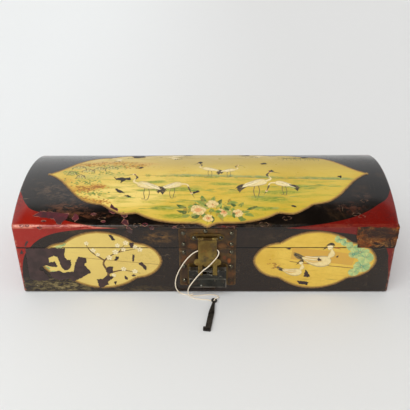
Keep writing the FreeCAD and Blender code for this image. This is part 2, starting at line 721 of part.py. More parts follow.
def string_path(points):
    """Straight runs joined by tangent arcs, each as large as its two runs allow."""
    corners = [Vector(*point) for point in points]
    edges = []
    radii = []
    last = corners[0]
    for before, corner, after in zip(corners, corners[1:], corners[2:]):
        into = (corner - before).normalize()
        out = (after - corner).normalize()
        half_turn = into.getAngle(out) / 2
        reach = arc_share * min((corner - before).Length, (after - corner).Length)
        radii.append(reach / math.tan(half_turn))
        start, end = corner - into * reach, corner + out * reach
        to_centre = (out - into).normalize()
        middle = corner + to_centre * (radii[-1] / math.cos(half_turn) - radii[-1])
        edges.append(Part.LineSegment(last, start).toShape())
        edges.append(Part.Arc(start, middle, end).toShape())
        last = end
    edges.append(Part.LineSegment(last, corners[-1]).toShape())
    return Part.Wire(edges), radii


def make_string():
    path, radii = string_path(string_route)
    start = Vector(*string_route[0])
    ring = Part.Wire(Part.makeCircle(string_radius, start, Vector(*string_route[1]) - start))
    tube = path.makePipeShell([ring], True, False, 2)
    expected = math.pi * string_radius ** 2 * path.Length
    print("string length %.1f mm, tube volume over section times length %.4f"
          % (path.Length, tube.Volume / expected))
    print("string radii", " ".join("%.1f" % radius for radius in radii))
    save("string_loop", tube)


def make_knot():
    tail = knot_tail_tip - knot_centre
    knot = Part.makeSphere(knot_radius, knot_centre)
    save("string_knot", join([knot, Part.makeCylinder(string_radius, tail.Length, knot_centre, tail)]))


def make_key():
    """Drawn with the eye at the origin and the shaft along -Y, then laid on the ground."""
    half = key_thickness / 2

    def bar(x0, x1, y0, y1, z0, z1):
        return block(x0, x1, -y1, -y0, z0, z1)

    neck, shaft = key_neck_width / 2, key_shaft_width / 2
    taper_start = key_eye_radius
    taper_end = key_eye_radius + key_taper_length
    shaft_end = key_length - key_bit_depth
    outline = [(-neck, 0), (-neck, taper_start), (-shaft, taper_end), (-shaft, shaft_end),
               (shaft, shaft_end), (shaft, taper_end), (neck, taper_start), (neck, 0), (-neck, 0)]
    blade = Part.Face(Part.makePolygon([Vector(x, -y, -half) for x, y in outline]))
    blade = blade.extrude(Vector(0, 0, key_thickness))
    eye = Part.makeCylinder(key_eye_radius, key_thickness, Vector(0, 0, -half))
    bit_left = key_bit_shift - key_bit_width / 2
    bit = bar(bit_left, bit_left + key_bit_width, shaft_end, key_length,
              -key_eye.z, key_bit_height - key_eye.z)
    upright = [e for e in bit.Edges if e.BoundBox.XLength < 1e-6 and e.BoundBox.YLength < 1e-6]
    bit = bit.makeFillet(key_bit_depth / 4, upright)
    pins = [Part.makeCylinder(key_pin_radius, key_pin_length + key_bit_depth / 2,
                              Vector(key_bit_shift + side * key_pin_spacing / 2,
                                     -key_length + key_bit_depth / 2, 0), Vector(0, -1, 0))
            for side in (-1, 1)]
    key = join([eye, blade, bit] + pins)
    key = key.cut(Part.makeCylinder(key_eye_hole, 2 * key_thickness, Vector(0, 0, -key_thickness)))
    key.rotate(Vector(0, 0, 0), Vector(0, 0, 1), -key_heading)
    key.translate(key_eye)
    save("key", key)


# ---------------------------------------------------------------- build
os.makedirs("parts", exist_ok=True)
make_base()
make_base_lining()
make_lip_strips()
make_lid()
make_lid_lining()
make_corner_patch()
make_lock_plates()
make_hasp_leaf()
make_hasp()
make_cloud_plate()
make_lock_case()
make_bolt()
make_bolt_guides()
make_bolt_spring()
for hinge_side, hinge_middle in zip(("left", "right"), hinge_middles):
    make_hinge(hinge_side, hinge_middle)
make_hinge_nails()
make_string()
make_knot()
make_key()
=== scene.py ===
# %% [markdown]
# # A painted hide case
# A long case with a domed lid: thin boards covered in hide, lacquered black, with red at its ends,
# yellow painted panels and a brass lock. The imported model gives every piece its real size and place,
# and this lesson gives each one its surface.

import json
import math
import random

import bpy
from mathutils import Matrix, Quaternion, Vector, noise

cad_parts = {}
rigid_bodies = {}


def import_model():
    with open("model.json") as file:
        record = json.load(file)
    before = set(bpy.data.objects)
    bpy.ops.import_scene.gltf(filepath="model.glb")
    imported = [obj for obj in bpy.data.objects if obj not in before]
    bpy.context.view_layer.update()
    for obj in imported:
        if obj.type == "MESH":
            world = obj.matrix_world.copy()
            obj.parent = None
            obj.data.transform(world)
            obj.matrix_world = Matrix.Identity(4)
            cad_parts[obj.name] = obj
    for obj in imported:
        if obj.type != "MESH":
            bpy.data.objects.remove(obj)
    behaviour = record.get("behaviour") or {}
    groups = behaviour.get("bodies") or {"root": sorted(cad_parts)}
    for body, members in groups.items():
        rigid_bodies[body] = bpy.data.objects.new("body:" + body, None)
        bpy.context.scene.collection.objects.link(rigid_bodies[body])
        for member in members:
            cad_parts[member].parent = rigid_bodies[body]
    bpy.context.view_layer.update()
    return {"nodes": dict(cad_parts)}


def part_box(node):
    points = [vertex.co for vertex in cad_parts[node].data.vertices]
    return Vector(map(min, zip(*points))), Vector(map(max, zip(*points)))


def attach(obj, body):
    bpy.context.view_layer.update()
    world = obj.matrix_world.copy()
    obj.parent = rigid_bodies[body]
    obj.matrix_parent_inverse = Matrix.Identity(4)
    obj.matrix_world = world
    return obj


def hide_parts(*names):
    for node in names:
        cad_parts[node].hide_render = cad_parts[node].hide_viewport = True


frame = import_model()

# %% [markdown]
# ## The camera
# The camera stands in front of the case and looks down on it, so that lid and front both show. It is
# set first, because the string's loose length is judged by what the camera sees.

# %% The camera
mm = 0.001
camera_place = Vector((13.3, -931.0, 700.6)) * mm
camera_target = Vector((-0.5, 0.0, 98.2)) * mm
camera_lens = 56.63
camera_roll = math.radians(-0.55)

camera_data = bpy.data.cameras.new("camera")
camera_data.lens = camera_lens
camera_data.sensor_width = 36.0
camera = bpy.data.objects.new("camera", camera_data)
bpy.context.scene.collection.objects.link(camera)
camera.location = camera_place
camera.rotation_mode = "QUATERNION"
camera.rotation_quaternion = ((camera_target - camera_place).to_track_quat("-Z", "Y")
                              @ Quaternion((0, 0, 1), camera_roll))
bpy.context.scene.camera = camera
bpy.context.scene.view_settings.view_transform = "Standard"
print("camera", [round(c, 3) for c in camera.location])

# %% [markdown]
# ## The main sizes
# The case's own form is a few sizes: a dome that is an arc over the whole depth, a round shoulder, and
# upright sides. Everything painted on it is placed by two numbers, as on a sheet wrapped round the
# case: how far across, and how far around from the ridge.

# %% Sizes read from the frame
lid_low, lid_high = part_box("lid_hide")
half_length = lid_high.x
half_depth = lid_high.y
lid_rim = lid_low.z
base_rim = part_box("base_side_hide")[1].z
lid_rise = 26.0 * mm
shoulder_radius = 7.0 * mm
end_edge_radius = 3.5 * mm
foot_radius = 4.0 * mm
hide_thickness = 1.2 * mm
dip_depth = 0.35 * mm

dome_radius = (half_depth ** 2 + lid_rise ** 2) / (2 * lid_rise)
dome_centre_z = lid_high.z - dome_radius
shoulder_y = half_depth - shoulder_radius
shoulder_centre_z = dome_centre_z + math.sqrt((dome_radius - shoulder_radius) ** 2 - shoulder_y ** 2)
dome_angle = math.asin(shoulder_y / (dome_radius - shoulder_radius))
dome_arc = dome_radius * dome_angle
shoulder_arc = shoulder_radius * (math.pi / 2 - dome_angle)
side_start = dome_arc + shoulder_arc
print("dome radius", round(dome_radius, 4), "arc", round(dome_arc, 4), "sides from", round(side_start, 4))

# %% [markdown]
# The hide was soaked, stretched over the boards and dried there, so paint, gold and wear all follow
# its curve. A picture could be projected on it, but that would smear at the shoulder. Here each place
# on the flat sheet has its own spot on the hide, found from the arcs' lengths, and girth goes the
# other way.

# %% Spots on the wrapped sheet
def fade(value, low, high):
    """0 at low, 1 at high, smooth between."""
    share = min(1.0, max(0.0, (value - low) / (high - low)))
    return share * share * (3 - 2 * share)


def dip(across, around):
    """The slow dips of old boards under the hide, on the dome only."""
    reach = fade(dome_arc - abs(around), 0, 35 * mm) * fade(half_length - abs(across), 2 * mm, 30 * mm)
    slow = math.sin(across * 21 + 1.3) * math.cos(around * 33 + 0.4)
    quick = 0.5 * math.sin(across * 57 + around * 41)
    return dip_depth * reach * (slow + quick)


def lid_point(across, around, lift):
    """The spot on the lid's hide: dome, shoulder, then the upright side. Front is negative."""
    side = math.copysign(1.0, around)
    far = abs(around)
    if far <= dome_arc:
        angle = around / dome_radius
        reach = dome_radius + lift + dip(across, around)
        return Vector((across, reach * math.sin(angle), dome_centre_z + reach * math.cos(angle)))
    if far <= side_start:
        angle = dome_angle + (far - dome_arc) / shoulder_radius
        reach = shoulder_radius + lift
        return Vector((across, side * (shoulder_y + reach * math.sin(angle)),
                       shoulder_centre_z + reach * math.cos(angle)))
    return Vector((across, side * (half_depth + lift), shoulder_centre_z - (far - side_start)))


def front_point(across, up, lift):
    """The spot on the upright front, lid or base."""
    return Vector((across, -half_depth - lift, up))


def girth(y, z):
    """How far around from the ridge a point of the hide is, negative at the front."""
    if z < shoulder_centre_z:
        return math.copysign(side_start + shoulder_centre_z - z, y)
    angle = math.atan2(abs(y), z - dome_centre_z)
    if angle <= dome_angle:
        return dome_radius * math.copysign(angle, y)
    angle = math.atan2(abs(y) - shoulder_y, z - shoulder_centre_z)
    return math.copysign(dome_arc + shoulder_radius * (angle - dome_angle), y)


print("the ridge is at", [round(c, 4) for c in lid_point(0, 0, 0)])

# %% [markdown]
# ## Small hand tools
# Blender's operators act on what is selected. A slip there cuts the wrong piece, so these helpers
# select just one piece, or the edges or faces of it that pass a test, before each step.

# %% Selecting and cutting
def put_in_scene(piece):
    bpy.context.scene.collection.objects.link(piece)
    return piece


def only(piece):
    """Selects this one piece, in object mode."""
    if bpy.context.mode != "OBJECT":
        bpy.ops.object.mode_set(mode="OBJECT")
    bpy.ops.object.select_all(action="DESELECT")
    piece.select_set(True)
    bpy.context.view_layer.objects.active = piece


def pick(piece, kind, test):
    """Opens the piece for editing with just the edges or faces that pass the test selected."""
    bpy.ops.object.mode_set(mode="OBJECT")
    mesh = piece.data
    for group in (mesh.vertices, mesh.edges, mesh.polygons):
        group.foreach_set("select", [False] * len(group))
    bpy.context.tool_settings.mesh_select_mode = (False, kind == "edge", kind == "face")
    if kind == "edge":
        for edge in mesh.edges:
            edge.select = test(*(mesh.vertices[i].co for i in edge.vertices))
    else:
        for face in mesh.polygons:
            face.select = test(face.center, face.normal)
    bpy.ops.object.mode_set(mode="EDIT")


def cut(piece, direction, places, clear_above=False, clear_below=False):
    """Cuts the piece with a plane at each place along the direction, and may clear one side away."""
    only(piece)
    bpy.ops.object.mode_set(mode="EDIT")
    direction = Vector(direction)
    for place in places:
        bpy.ops.mesh.select_all(action="SELECT")
        bpy.ops.mesh.bisect(plane_co=direction * place, plane_no=direction,
                            clear_outer=clear_above, clear_inner=clear_below)
    bpy.ops.object.mode_set(mode="OBJECT")


print("tools for selecting and cutting are ready")

# %% [markdown]
# A piece is finished when its modifiers are applied, its shading is smooth where it is round, and it
# rides on the body that carries it. These helpers do that, so that no piece is left half done.

# %% Finishing a piece
def apply_modifier(piece, kind, **settings):
    """Adds one modifier with these settings and applies it, so that the mesh itself is changed."""
    only(piece)
    modifier = piece.modifiers.new(kind.lower(), kind)
    for name, value in settings.items():
        setattr(modifier, name, value)
    bpy.ops.object.modifier_apply(modifier=modifier.name)


def smooth(piece, degrees):
    """Shades the piece smooth where its faces meet at less than this angle."""
    only(piece)
    bpy.ops.object.shade_smooth_by_angle(angle=math.radians(degrees))


def hand_over(piece, body, slot, finish, *stands_for):
    """The piece gets its finish, rides on its body and stands for the nodes that it replaces."""
    piece.data.materials.clear()
    piece.data.materials.append(finish)
    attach(piece, body)
    if stands_for:
        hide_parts(*stands_for)


def spaced(low, high, step):
    """Evenly spaced places strictly between low and high."""
    count = max(1, round((high - low) / step))
    return [low + (high - low) * i / count for i in range(1, count)]


print("a metre in thirds:", [round(place, 3) for place in spaced(0, 1, 1 / 3)])

# %% [markdown]
# ## Wiring materials
# A finish is a small tree of nodes. This bench adds a node, feeds its inputs with numbers, colours or
# other nodes' outputs, and keeps the few joins that every finish here needs.

# %% The bench
def tone(red, green, blue):
    """A colour as read from a paint card, 0 to 255, in the linear values that shaders use."""
    return tuple(((c / 255 + 0.055) / 1.055) ** 2.4 for c in (red, green, blue)) + (1.0,)


class Bench:
    def __init__(self, tree):
        self.tree = tree

    def feed(self, socket, value):
        if isinstance(value, bpy.types.NodeSocket):
            self.tree.links.new(value, socket)
        elif value is not None:
            socket.default_value = value

    def add(self, kind, *values, **settings):
        node = self.tree.nodes.new(kind)
        for name, value in settings.items():
            setattr(node, name, value)
        for socket, value in zip(node.inputs, values):
            self.feed(socket, value)
        return node

    def place(self):
        """The spot on the piece, in metres from the middle of the whole case."""
        return self.add("ShaderNodeTexCoord").outputs["Object"]

    def parts(self, vector):
        return self.add("ShaderNodeSeparateXYZ", vector).outputs

    def calc(self, operation, first, second=None):
        return self.add("ShaderNodeMath", first, second, operation=operation).outputs[0]

    def times(self, first, second):
        return self.calc("MULTIPLY", first, second)

    def plus(self, first, second):
        return self.calc("ADD", first, second)

    def minus(self, first, second):
        return self.calc("SUBTRACT", first, second)

    def either(self, share, first, second):
        """The first number where share is 0, the second where it is 1."""
        return self.add("ShaderNodeMix", share, None, first, second, data_type="FLOAT").outputs[0]

    def remap(self, value, *limits):
        """Moves a value from one range to another, in a straight line."""
        return self.add("ShaderNodeMapRange", value, *limits).outputs[0]

    def mix(self, share, first, second):
        """The first colour where share is 0, the second where it is 1."""
        node = self.add("ShaderNodeMix", data_type="RGBA")
        self.feed(node.inputs[0], share)
        self.feed(node.inputs[6], first)
        self.feed(node.inputs[7], second)
        return node.outputs[2]

    def wash(self, colour, over, share, strength):
        """Lays another colour over the first, where share says and as strongly as strength says."""
        return self.mix(self.times(share, strength), colour, over)

    def step(self, value, low, high):
        """0 below low and 1 above high, smooth between; with low above high it falls instead."""
        return self.add("ShaderNodeMapRange", value, low, high, 0.0, 1.0,
                        interpolation_type="SMOOTHSTEP").outputs[0]

    def stretch(self, where, x, y, z, turn=0.0):
        """Scales and turns a pattern's space, so that its grain runs long one way."""
        node = self.add("ShaderNodeMapping", where)
        node.inputs["Scale"].default_value = (x, y, z)
        node.inputs["Rotation"].default_value = (0, turn, turn)
        return node.outputs[0]

    def noise(self, where, scale, detail=4.0, roughness=0.55, distortion=0.0):
        node = self.add("ShaderNodeTexNoise")
        for name, value in (("Vector", where), ("Scale", scale), ("Detail", detail),
                            ("Roughness", roughness), ("Distortion", distortion)):
            self.feed(node.inputs[name], value)
        return node.outputs["Fac"]

    def cells(self, where, scale, feature="F1", output="Distance"):
        node = self.add("ShaderNodeTexVoronoi", feature=feature)
        self.feed(node.inputs["Vector"], where)
        self.feed(node.inputs["Scale"], scale)
        return node.outputs[output]

    def patch(self, across, up, centre, size, soft=0.5):
        """A soft round patch of a painted sheet: 1 at its centre, 0 past its size, both in millimetres."""
        squares = [self.calc("POWER", self.calc("DIVIDE", self.minus(value, middle * mm), half * mm), 2.0)
                   for value, middle, half in zip((across, up), centre, size)]
        return self.step(self.calc("SQRT", self.plus(*squares)), 1.0, soft)

    def bump(self, height, strength, depth):
        node = self.add("ShaderNodeBump")
        node.inputs["Strength"].default_value = strength
        node.inputs["Distance"].default_value = depth
        self.feed(node.inputs["Height"], height)
        return node.outputs[0]

    def surface(self, shader, colour, roughness, height, strength, depth):
        """Joins a finish's colour, roughness and relief to its shader."""
        self.feed(shader.inputs["Base Color"], colour)
        self.feed(shader.inputs["Roughness"], roughness)
        self.feed(shader.inputs["Normal"], self.bump(height, strength, depth))


print("middle grey on the bench:", round(tone(128, 128, 128)[0], 3))

# %% [markdown]
# A finish belongs to a material, and an effect to a node group that many materials use. A copy of the
# same nodes in every finish would do too, but a group is changed in one place only.

# %% New finishes and effects
def new_finish(name):
    """A new material, the bench to wire it on, and its shader."""
    material = bpy.data.materials.new(name)
    material.use_nodes = True
    return material, Bench(material.node_tree), material.node_tree.nodes["Principled BSDF"]


def new_effect(name, result, **values):
    """A node group for an effect that several finishes share. It takes a place and the named values."""
    tree = bpy.data.node_groups.new(name, "ShaderNodeTree")
    tree.interface.new_socket("Vector", in_out="INPUT", socket_type="NodeSocketVector")
    for label, start in values.items():
        socket = tree.interface.new_socket(label, in_out="INPUT", socket_type="NodeSocketFloat")
        socket.default_value = start
    tree.interface.new_socket(result, in_out="OUTPUT", socket_type="NodeSocketFloat")
    bench = Bench(tree)
    return tree, bench, bench.add("NodeGroupInput").outputs, bench.add("NodeGroupOutput").inputs


def use_effect(bench, tree, **values):
    """Places an effect in a finish, with this finish's own values."""
    node = bench.add("ShaderNodeGroup", node_tree=tree)
    for name, value in values.items():
        bench.feed(node.inputs[name], value)
    return node.outputs[0]


print("finishes and effects can be made")

# %% [markdown]
# ## Effects of age
# Dust, hairline scratches and fine cracks sit on every old surface of this case, so they are built
# once as groups and placed in each finish with values of their own.

# %% Dust, scratches and cracks
def make_dust():
    tree, bench, given, out = new_effect("dust_specks", "Specks", Scale=260.0, Amount=0.12)
    distance = bench.cells(given["Vector"], given["Scale"])
    which = bench.cells(given["Vector"], given["Scale"], output="Color")
    chosen = bench.calc("LESS_THAN", which, given["Amount"])
    dot = bench.step(distance, 0.22, 0.12)
    bench.feed(out["Specks"], bench.times(chosen, dot))
    return tree


def make_scratches():
    tree, bench, given, out = new_effect("hair_scratches", "Scratches", Scale=12.0, Amount=0.5)
    total = None
    for turn, x, y in ((0.4, 0.6, 17.0), (-0.7, 15.0, 0.6), (1.1, 0.7, 13.0)):
        line = bench.noise(bench.stretch(given["Vector"], x, y, 3.0, turn), given["Scale"], 2.0, 0.5, 0.3)
        thin = bench.step(bench.calc("ABSOLUTE", bench.minus(line, 0.5)), 0.0035, 0.001)
        where = bench.noise(bench.stretch(given["Vector"], 1.0, 1.0, 1.0, turn), 17.0, 2.0)
        kept = bench.times(thin, bench.step(where, 0.58, 0.68))
        total = kept if total is None else bench.calc("MAXIMUM", total, kept)
    bench.feed(out["Scratches"], bench.times(total, given["Amount"]))
    return tree


def make_cracks():
    tree, bench, given, out = new_effect("fine_cracks", "Cracks", Scale=150.0, Width=0.03)
    wander = bench.add("ShaderNodeTexNoise")
    bench.feed(wander.inputs["Vector"], given["Vector"])
    wander.inputs["Scale"].default_value = 90.0
    small = bench.add("ShaderNodeVectorMath", wander.outputs["Color"], operation="SCALE")
    small.inputs["Scale"].default_value = 0.012
    shaken = bench.add("ShaderNodeVectorMath", given["Vector"], small.outputs[0], operation="ADD")
    edge = bench.cells(shaken.outputs[0], given["Scale"], "DISTANCE_TO_EDGE")
    line = bench.calc("LESS_THAN", edge, given["Width"])
    where = bench.step(bench.noise(given["Vector"], 14.0, 3.0), 0.45, 0.62)
    bench.feed(out["Cracks"], bench.times(line, where))
    return tree


dust_specks = make_dust()
hair_scratches = make_scratches()
fine_cracks = make_cracks()
print("effects:", ", ".join(group.name for group in bpy.data.node_groups))

# %% [markdown]
# ## The lacquered hide
# The hide is brushed with black lacquer, and the ends with red, whose edge runs in a long flare from the
# ends to the shoulder. The flare's edge is a curve of distance across against distance around, so one
# finish serves lid and base. Lacquer wears where hands and cloths rub it: along the shoulder it is thin,
# pale and chipped, and at the left that pale band is also a painted highlight.

# %% Where the red lies
flare_near, flare_far = 120 * mm, 300 * mm
flare_top, flare_low = 40 * mm, 250 * mm
left_flare = [(44, 299), (56, 293), (70, 287), (84, 276), (92, 259), (105, 225), (118, 172), (121.5, 128),
              (123, 190), (131, 235), (144, 262), (158, 276), (171, 286), (192, 293), (212, 296.5),
              (240, 298.4)]
right_flare = [(42, 299), (52, 295), (63, 290), (77, 274), (97, 243), (111, 200), (121.5, 125),
               (125, 176), (129, 204), (134, 236), (148, 270), (158, 284), (171, 290), (185, 292),
               (228, 298.2)]


def flare_edge(bench, around, points):
    """How far across the red begins, at each distance around."""
    curve = bench.add("ShaderNodeFloatCurve")
    line = curve.mapping.curves[0]
    line.points[0].location = (0.0, 1.0)
    line.points[1].location = (1.0, 1.0)
    for g, x in points:
        line.points.new((g * mm - flare_top) / (flare_low - flare_top),
                        (x * mm - flare_near) / (flare_far - flare_near))
    for point in line.points:
        at_the_crown = 0.38 < point.location[0] < 0.40
        point.handle_type = "VECTOR" if at_the_crown else "AUTO_CLAMPED"
    curve.mapping.update()
    bench.feed(curve.inputs["Value"], bench.remap(around, flare_top, flare_low))
    return bench.remap(curve.outputs[0], 0.0, 1.0, flare_near, flare_far)


def red_mask(bench, place, across, around, far):
    """Whether a spot is right of the middle, how far it is on an end, and how red it is."""
    late = bench.remap(far, 98 * mm, side_start, 44 * mm, side_start)
    on_back_dome = bench.times(bench.calc("GREATER_THAN", around, 0.0),
                               bench.calc("LESS_THAN", far, side_start))
    flare = bench.either(on_back_dome, far, late)
    is_right = bench.calc("GREATER_THAN", across, 0.0)
    edge = bench.either(is_right, flare_edge(bench, flare, left_flare), flare_edge(bench, flare, right_flare))
    wander = bench.times(bench.minus(bench.noise(place, 60.0, 3.0), 0.5), 2.2 * mm)
    past = bench.minus(bench.plus(bench.calc("ABSOLUTE", across), wander), edge)
    facing = bench.parts(bench.add("ShaderNodeNewGeometry").outputs["Normal"])[0]
    on_end = bench.step(bench.calc("ABSOLUTE", facing), 0.55, 0.75)
    return is_right, on_end, bench.calc("MAXIMUM", bench.step(past, -0.3 * mm, 0.4 * mm), on_end)


print("red begins", left_flare[7][1], "mm from the middle at the left shoulder,",
      right_flare[6][1], "mm at the right one")

# %% [markdown]
# The black is worn brown in places of its own. Each rub is a soft patch, given by its middle, its
# half sizes, its strength and the brown that shows there, and it is broken up by long fibres.

# %% Layers of lacquer
brown_rubs = [
    ((-215, -86), (52, 24), 0.75, tone(110, 70, 48)), ((-180, -98), (60, 9), 0.7, tone(104, 62, 40)),
    ((-252, -44), (40, 30), 0.5, tone(104, 82, 62)), ((-220, -58), (44, 20), 0.4, tone(96, 76, 60)),
    ((228, -84), (34, 18), 0.6, tone(96, 56, 40)), ((252, -58), (26, 12), 0.5, tone(80, 56, 44)),
    ((-238, -236), (86, 26), 0.85, tone(148, 130, 82)), ((-110, -244), (80, 12), 0.7, tone(92, 76, 46)),
    ((-72, -138), (36, 18), 0.9, tone(118, 84, 42)), ((-200, -128), (60, 7), 0.5, tone(84, 66, 44)),
    ((34, -119), (20, 5), 0.9, tone(104, 22, 15)), ((90, -116), (50, 5), 0.5, tone(70, 60, 40)),
    ((-120, -136), (9, 22), 0.7, tone(74, 46, 36)), ((104, -138), (50, 10), 0.4, tone(74, 58, 40)),
]


def black_layer(bench, place, across, around, far, broad, blotch, grain):
    """Brushed black, in clouds of two blacks, worn brown in its places."""
    black = bench.mix(bench.step(broad, 0.38, 0.66), tone(13, 9, 7), tone(23, 17, 12))
    black = bench.wash(black, tone(56, 38, 22), bench.step(blotch, 0.54, 0.74), 0.55)
    black = bench.wash(black, tone(66, 54, 42), bench.step(grain, 0.5, 0.72), 0.12)
    black = bench.wash(black, tone(50, 36, 26), bench.step(far, 118 * mm, 128 * mm), 0.5)
    fibres = bench.noise(bench.stretch(place, 0.5, 1.0, 1.0), 150.0, 5.0, 0.72, 0.4)
    for centre, size, share, brown in brown_rubs:
        worn = bench.times(bench.patch(across, around, centre, size, 0.1), bench.step(fibres, 0.42, 0.62))
        black = bench.wash(black, brown, worn, share)
    return black


def red_layer(bench, is_right, broad, blotch, grain):
    """The red of the ends, which has darkened more at the right."""
    red = bench.mix(is_right, tone(154, 29, 14), tone(108, 14, 6))
    red = bench.wash(red, tone(104, 18, 11), bench.step(broad, 0.42, 0.62), 0.5)
    red = bench.wash(red, tone(88, 14, 10), bench.step(blotch, 0.54, 0.72), 0.5)
    return bench.wash(red, tone(190, 74, 54), bench.step(grain, 0.52, 0.75), 0.2)


def knocks(bench, colour, spots, place, is_right):
    """Bare hide at the upright corners, and a scuffed foot."""
    from_end = bench.minus(half_length, bench.calc("ABSOLUTE", spots[0]))
    from_side = bench.minus(half_depth, bench.calc("ABSOLUTE", spots[1]))
    corner = bench.step(bench.calc("MAXIMUM", from_end, from_side), 5 * mm, 2.5 * mm)
    knocked = bench.times(corner, bench.step(bench.noise(place, 190.0, 5.0, 0.7), 0.47, 0.58))
    bare = bench.mix(is_right, tone(196, 116, 92), tone(140, 78, 52))
    colour = bench.wash(colour, bare, knocked, 0.8)
    scuffed = bench.step(bench.noise(place, 85.0, 5.0, 0.7), 0.42, 0.56)
    foot = bench.times(bench.step(spots[2], 6 * mm, 1.5 * mm), scuffed)
    return bench.wash(colour, tone(62, 47, 36), foot, 0.7)


print("brown rubs:", len(brown_rubs))

# %% [markdown]
# The layers come together in one glossy finish. A shoulder that hands and cloths rub is pale and
# chipped, and at the left its pale band is also a painted highlight; the rims at the joint are black
# with dirt, and dust, scratches and cracks lie over everything. Lacquer is smooth, so its relief is
# slight and the gloss does the work.

# %% The lacquer finish
def make_lacquer():
    finish, bench, shader = new_finish("black_and_red_lacquer")
    place = bench.place()
    across, around = bench.parts(bench.add("ShaderNodeUVMap", uv_map="wrap").outputs[0])[:2]
    far = bench.calc("ABSOLUTE", around)
    is_right, on_end, red_share = red_mask(bench, place, across, around, far)
    broad = bench.noise(place, 7.0, 6.0, 0.6)
    blotch = bench.noise(place, 33.0, 5.0, 0.65, 0.4)
    grain = bench.noise(place, 520.0, 3.0, 0.6)
    black = black_layer(bench, place, across, around, far, broad, blotch, grain)
    colour = bench.mix(red_share, black, red_layer(bench, is_right, broad, blotch, grain))

    # The pale band along the shoulder is worn lacquer, and at the left, where it is strongest and pinkest, it is
    # also a painted highlight.
    crown = bench.times(bench.step(far, 113.0 * mm, 117.0 * mm), bench.step(far, 122.5 * mm, 119.5 * mm))
    crown = bench.times(crown, bench.minus(1.0, on_end))
    rub = bench.noise(bench.stretch(place, 0.3, 1.0, 1.0), 110.0, 6.0, 0.72)
    handled_and_highlit = bench.calc("MAXIMUM", bench.step(across, -80 * mm, -190 * mm), 0.22)
    rubbed_and_highlit = bench.times(bench.times(crown, handled_and_highlit), bench.step(rub, 0.42, 0.58))
    pale_red_and_highlight = bench.mix(is_right, tone(222, 142, 118), tone(176, 92, 52))
    pale = bench.mix(red_share, tone(108, 86, 66), pale_red_and_highlight)
    colour = bench.wash(colour, pale, rubbed_and_highlit, 0.85)
    nicks = bench.times(crown, bench.step(bench.cells(place, 150.0), 0.16, 0.1))
    colour = bench.wash(colour, tone(70, 22, 18), nicks, bench.step(blotch, 0.45, 0.55))
    spots = bench.parts(place)
    rim = bench.calc("ABSOLUTE", bench.minus(spots[2], (lid_rim + base_rim) / 2))
    rim = bench.plus(rim, bench.times(bench.minus(rub, 0.5), 1.6 * mm))
    colour = bench.wash(colour, tone(13, 10, 8), bench.step(rim, 1.9 * mm, 0.8 * mm), 0.92)
    colour = knocks(bench, colour, spots, place, is_right)

    scratches = use_effect(bench, hair_scratches, Vector=place, Scale=10.0, Amount=0.45)
    specks = use_effect(bench, dust_specks, Vector=place, Scale=210.0, Amount=0.045)
    cracks = use_effect(bench, fine_cracks, Vector=place, Scale=120.0, Width=0.035)
    colour = bench.mix(scratches, colour, tone(140, 116, 92))
    colour = bench.wash(colour, tone(186, 172, 150), specks, 0.55)
    colour = bench.wash(colour, tone(16, 11, 9), cracks, 0.5)
    rough = bench.plus(bench.times(broad, 0.1), bench.times(blotch, 0.14))
    height = bench.plus(bench.times(grain, 0.35), bench.times(blotch, 0.6))
    height = bench.minus(height, bench.times(cracks, 0.6))
    height = bench.minus(height, bench.times(rubbed_and_highlit, 0.25))
    bench.surface(shader, colour, bench.plus(rough, 0.05), height, 0.25, 0.3 * mm)
    shader.inputs["IOR"].default_value = 1.42
    return finish


lacquer = make_lacquer()
print("finish:", lacquer.name)

# %% [markdown]
# ## The lid's skin
# The hide is one sheet that goes up the front, over the shoulder and dome, and down the back, with flat
# ends let in. It starts as the front's plane, whose top edge is spun round the shoulder, then round the
# dome, then round the other shoulder, and pulled down. That keeps the arcs true and the faces in rows.

# %% Finishing a skin
tiny = 0.01 * mm
flat_end = 6 * mm


def lay_out(mesh, name, spots):
    """Gives the mesh one UV map, in which each corner lies at the spot listed for its vertex."""
    while mesh.uv_layers:
        mesh.uv_layers.remove(mesh.uv_layers[0])
    layer = mesh.uv_layers.new(name=name)
    for loop, corner in zip(mesh.loops, layer.data):
        corner.uv = spots[loop.vertex_index]


def wrap_sheet(skin):
    """Lays the skin out by its distance across and around, as a sheet wrapped on the case."""
    lay_out(skin.data, "wrap", [(vertex.co.x, girth(vertex.co.y, vertex.co.z)) for vertex in skin.data.vertices])


def tidy_shell(skin):
    """Merges doubles and turns every face outwards before the wall gets its thickness."""
    only(skin)
    bpy.ops.object.mode_set(mode="EDIT")
    bpy.ops.mesh.select_all(action="SELECT")
    bpy.ops.mesh.remove_doubles(threshold=tiny)
    bpy.ops.mesh.normals_make_consistent(inside=False)
    bpy.ops.object.mode_set(mode="OBJECT")


def finish_skin(skin, body, *nodes):
    """A closed outer skin gets its layout, its thickness inwards and its finish."""
    tidy_shell(skin)
    wrap_sheet(skin)
    apply_modifier(skin, "SOLIDIFY", thickness=hide_thickness, offset=-1)
    smooth(skin, 40)
    hand_over(skin, body, "lacquered_hide", lacquer, *nodes)


def sized(name, *size):
    """Names the new primitive, gives it its size, and applies its place and size to its mesh."""
    piece = bpy.context.object
    piece.name = name
    piece.scale = size
    bpy.ops.object.transform_apply(location=True, rotation=True, scale=True)
    return piece


print("hide is", round(hide_thickness / mm, 2), "mm thick")

# %% [markdown]
# The lid could be a bent cube, but then its faces would be stretched at the shoulder. Spinning the
# edge about each arc's own middle gives rows of even faces, and the dips of the boards are pressed in
# last.

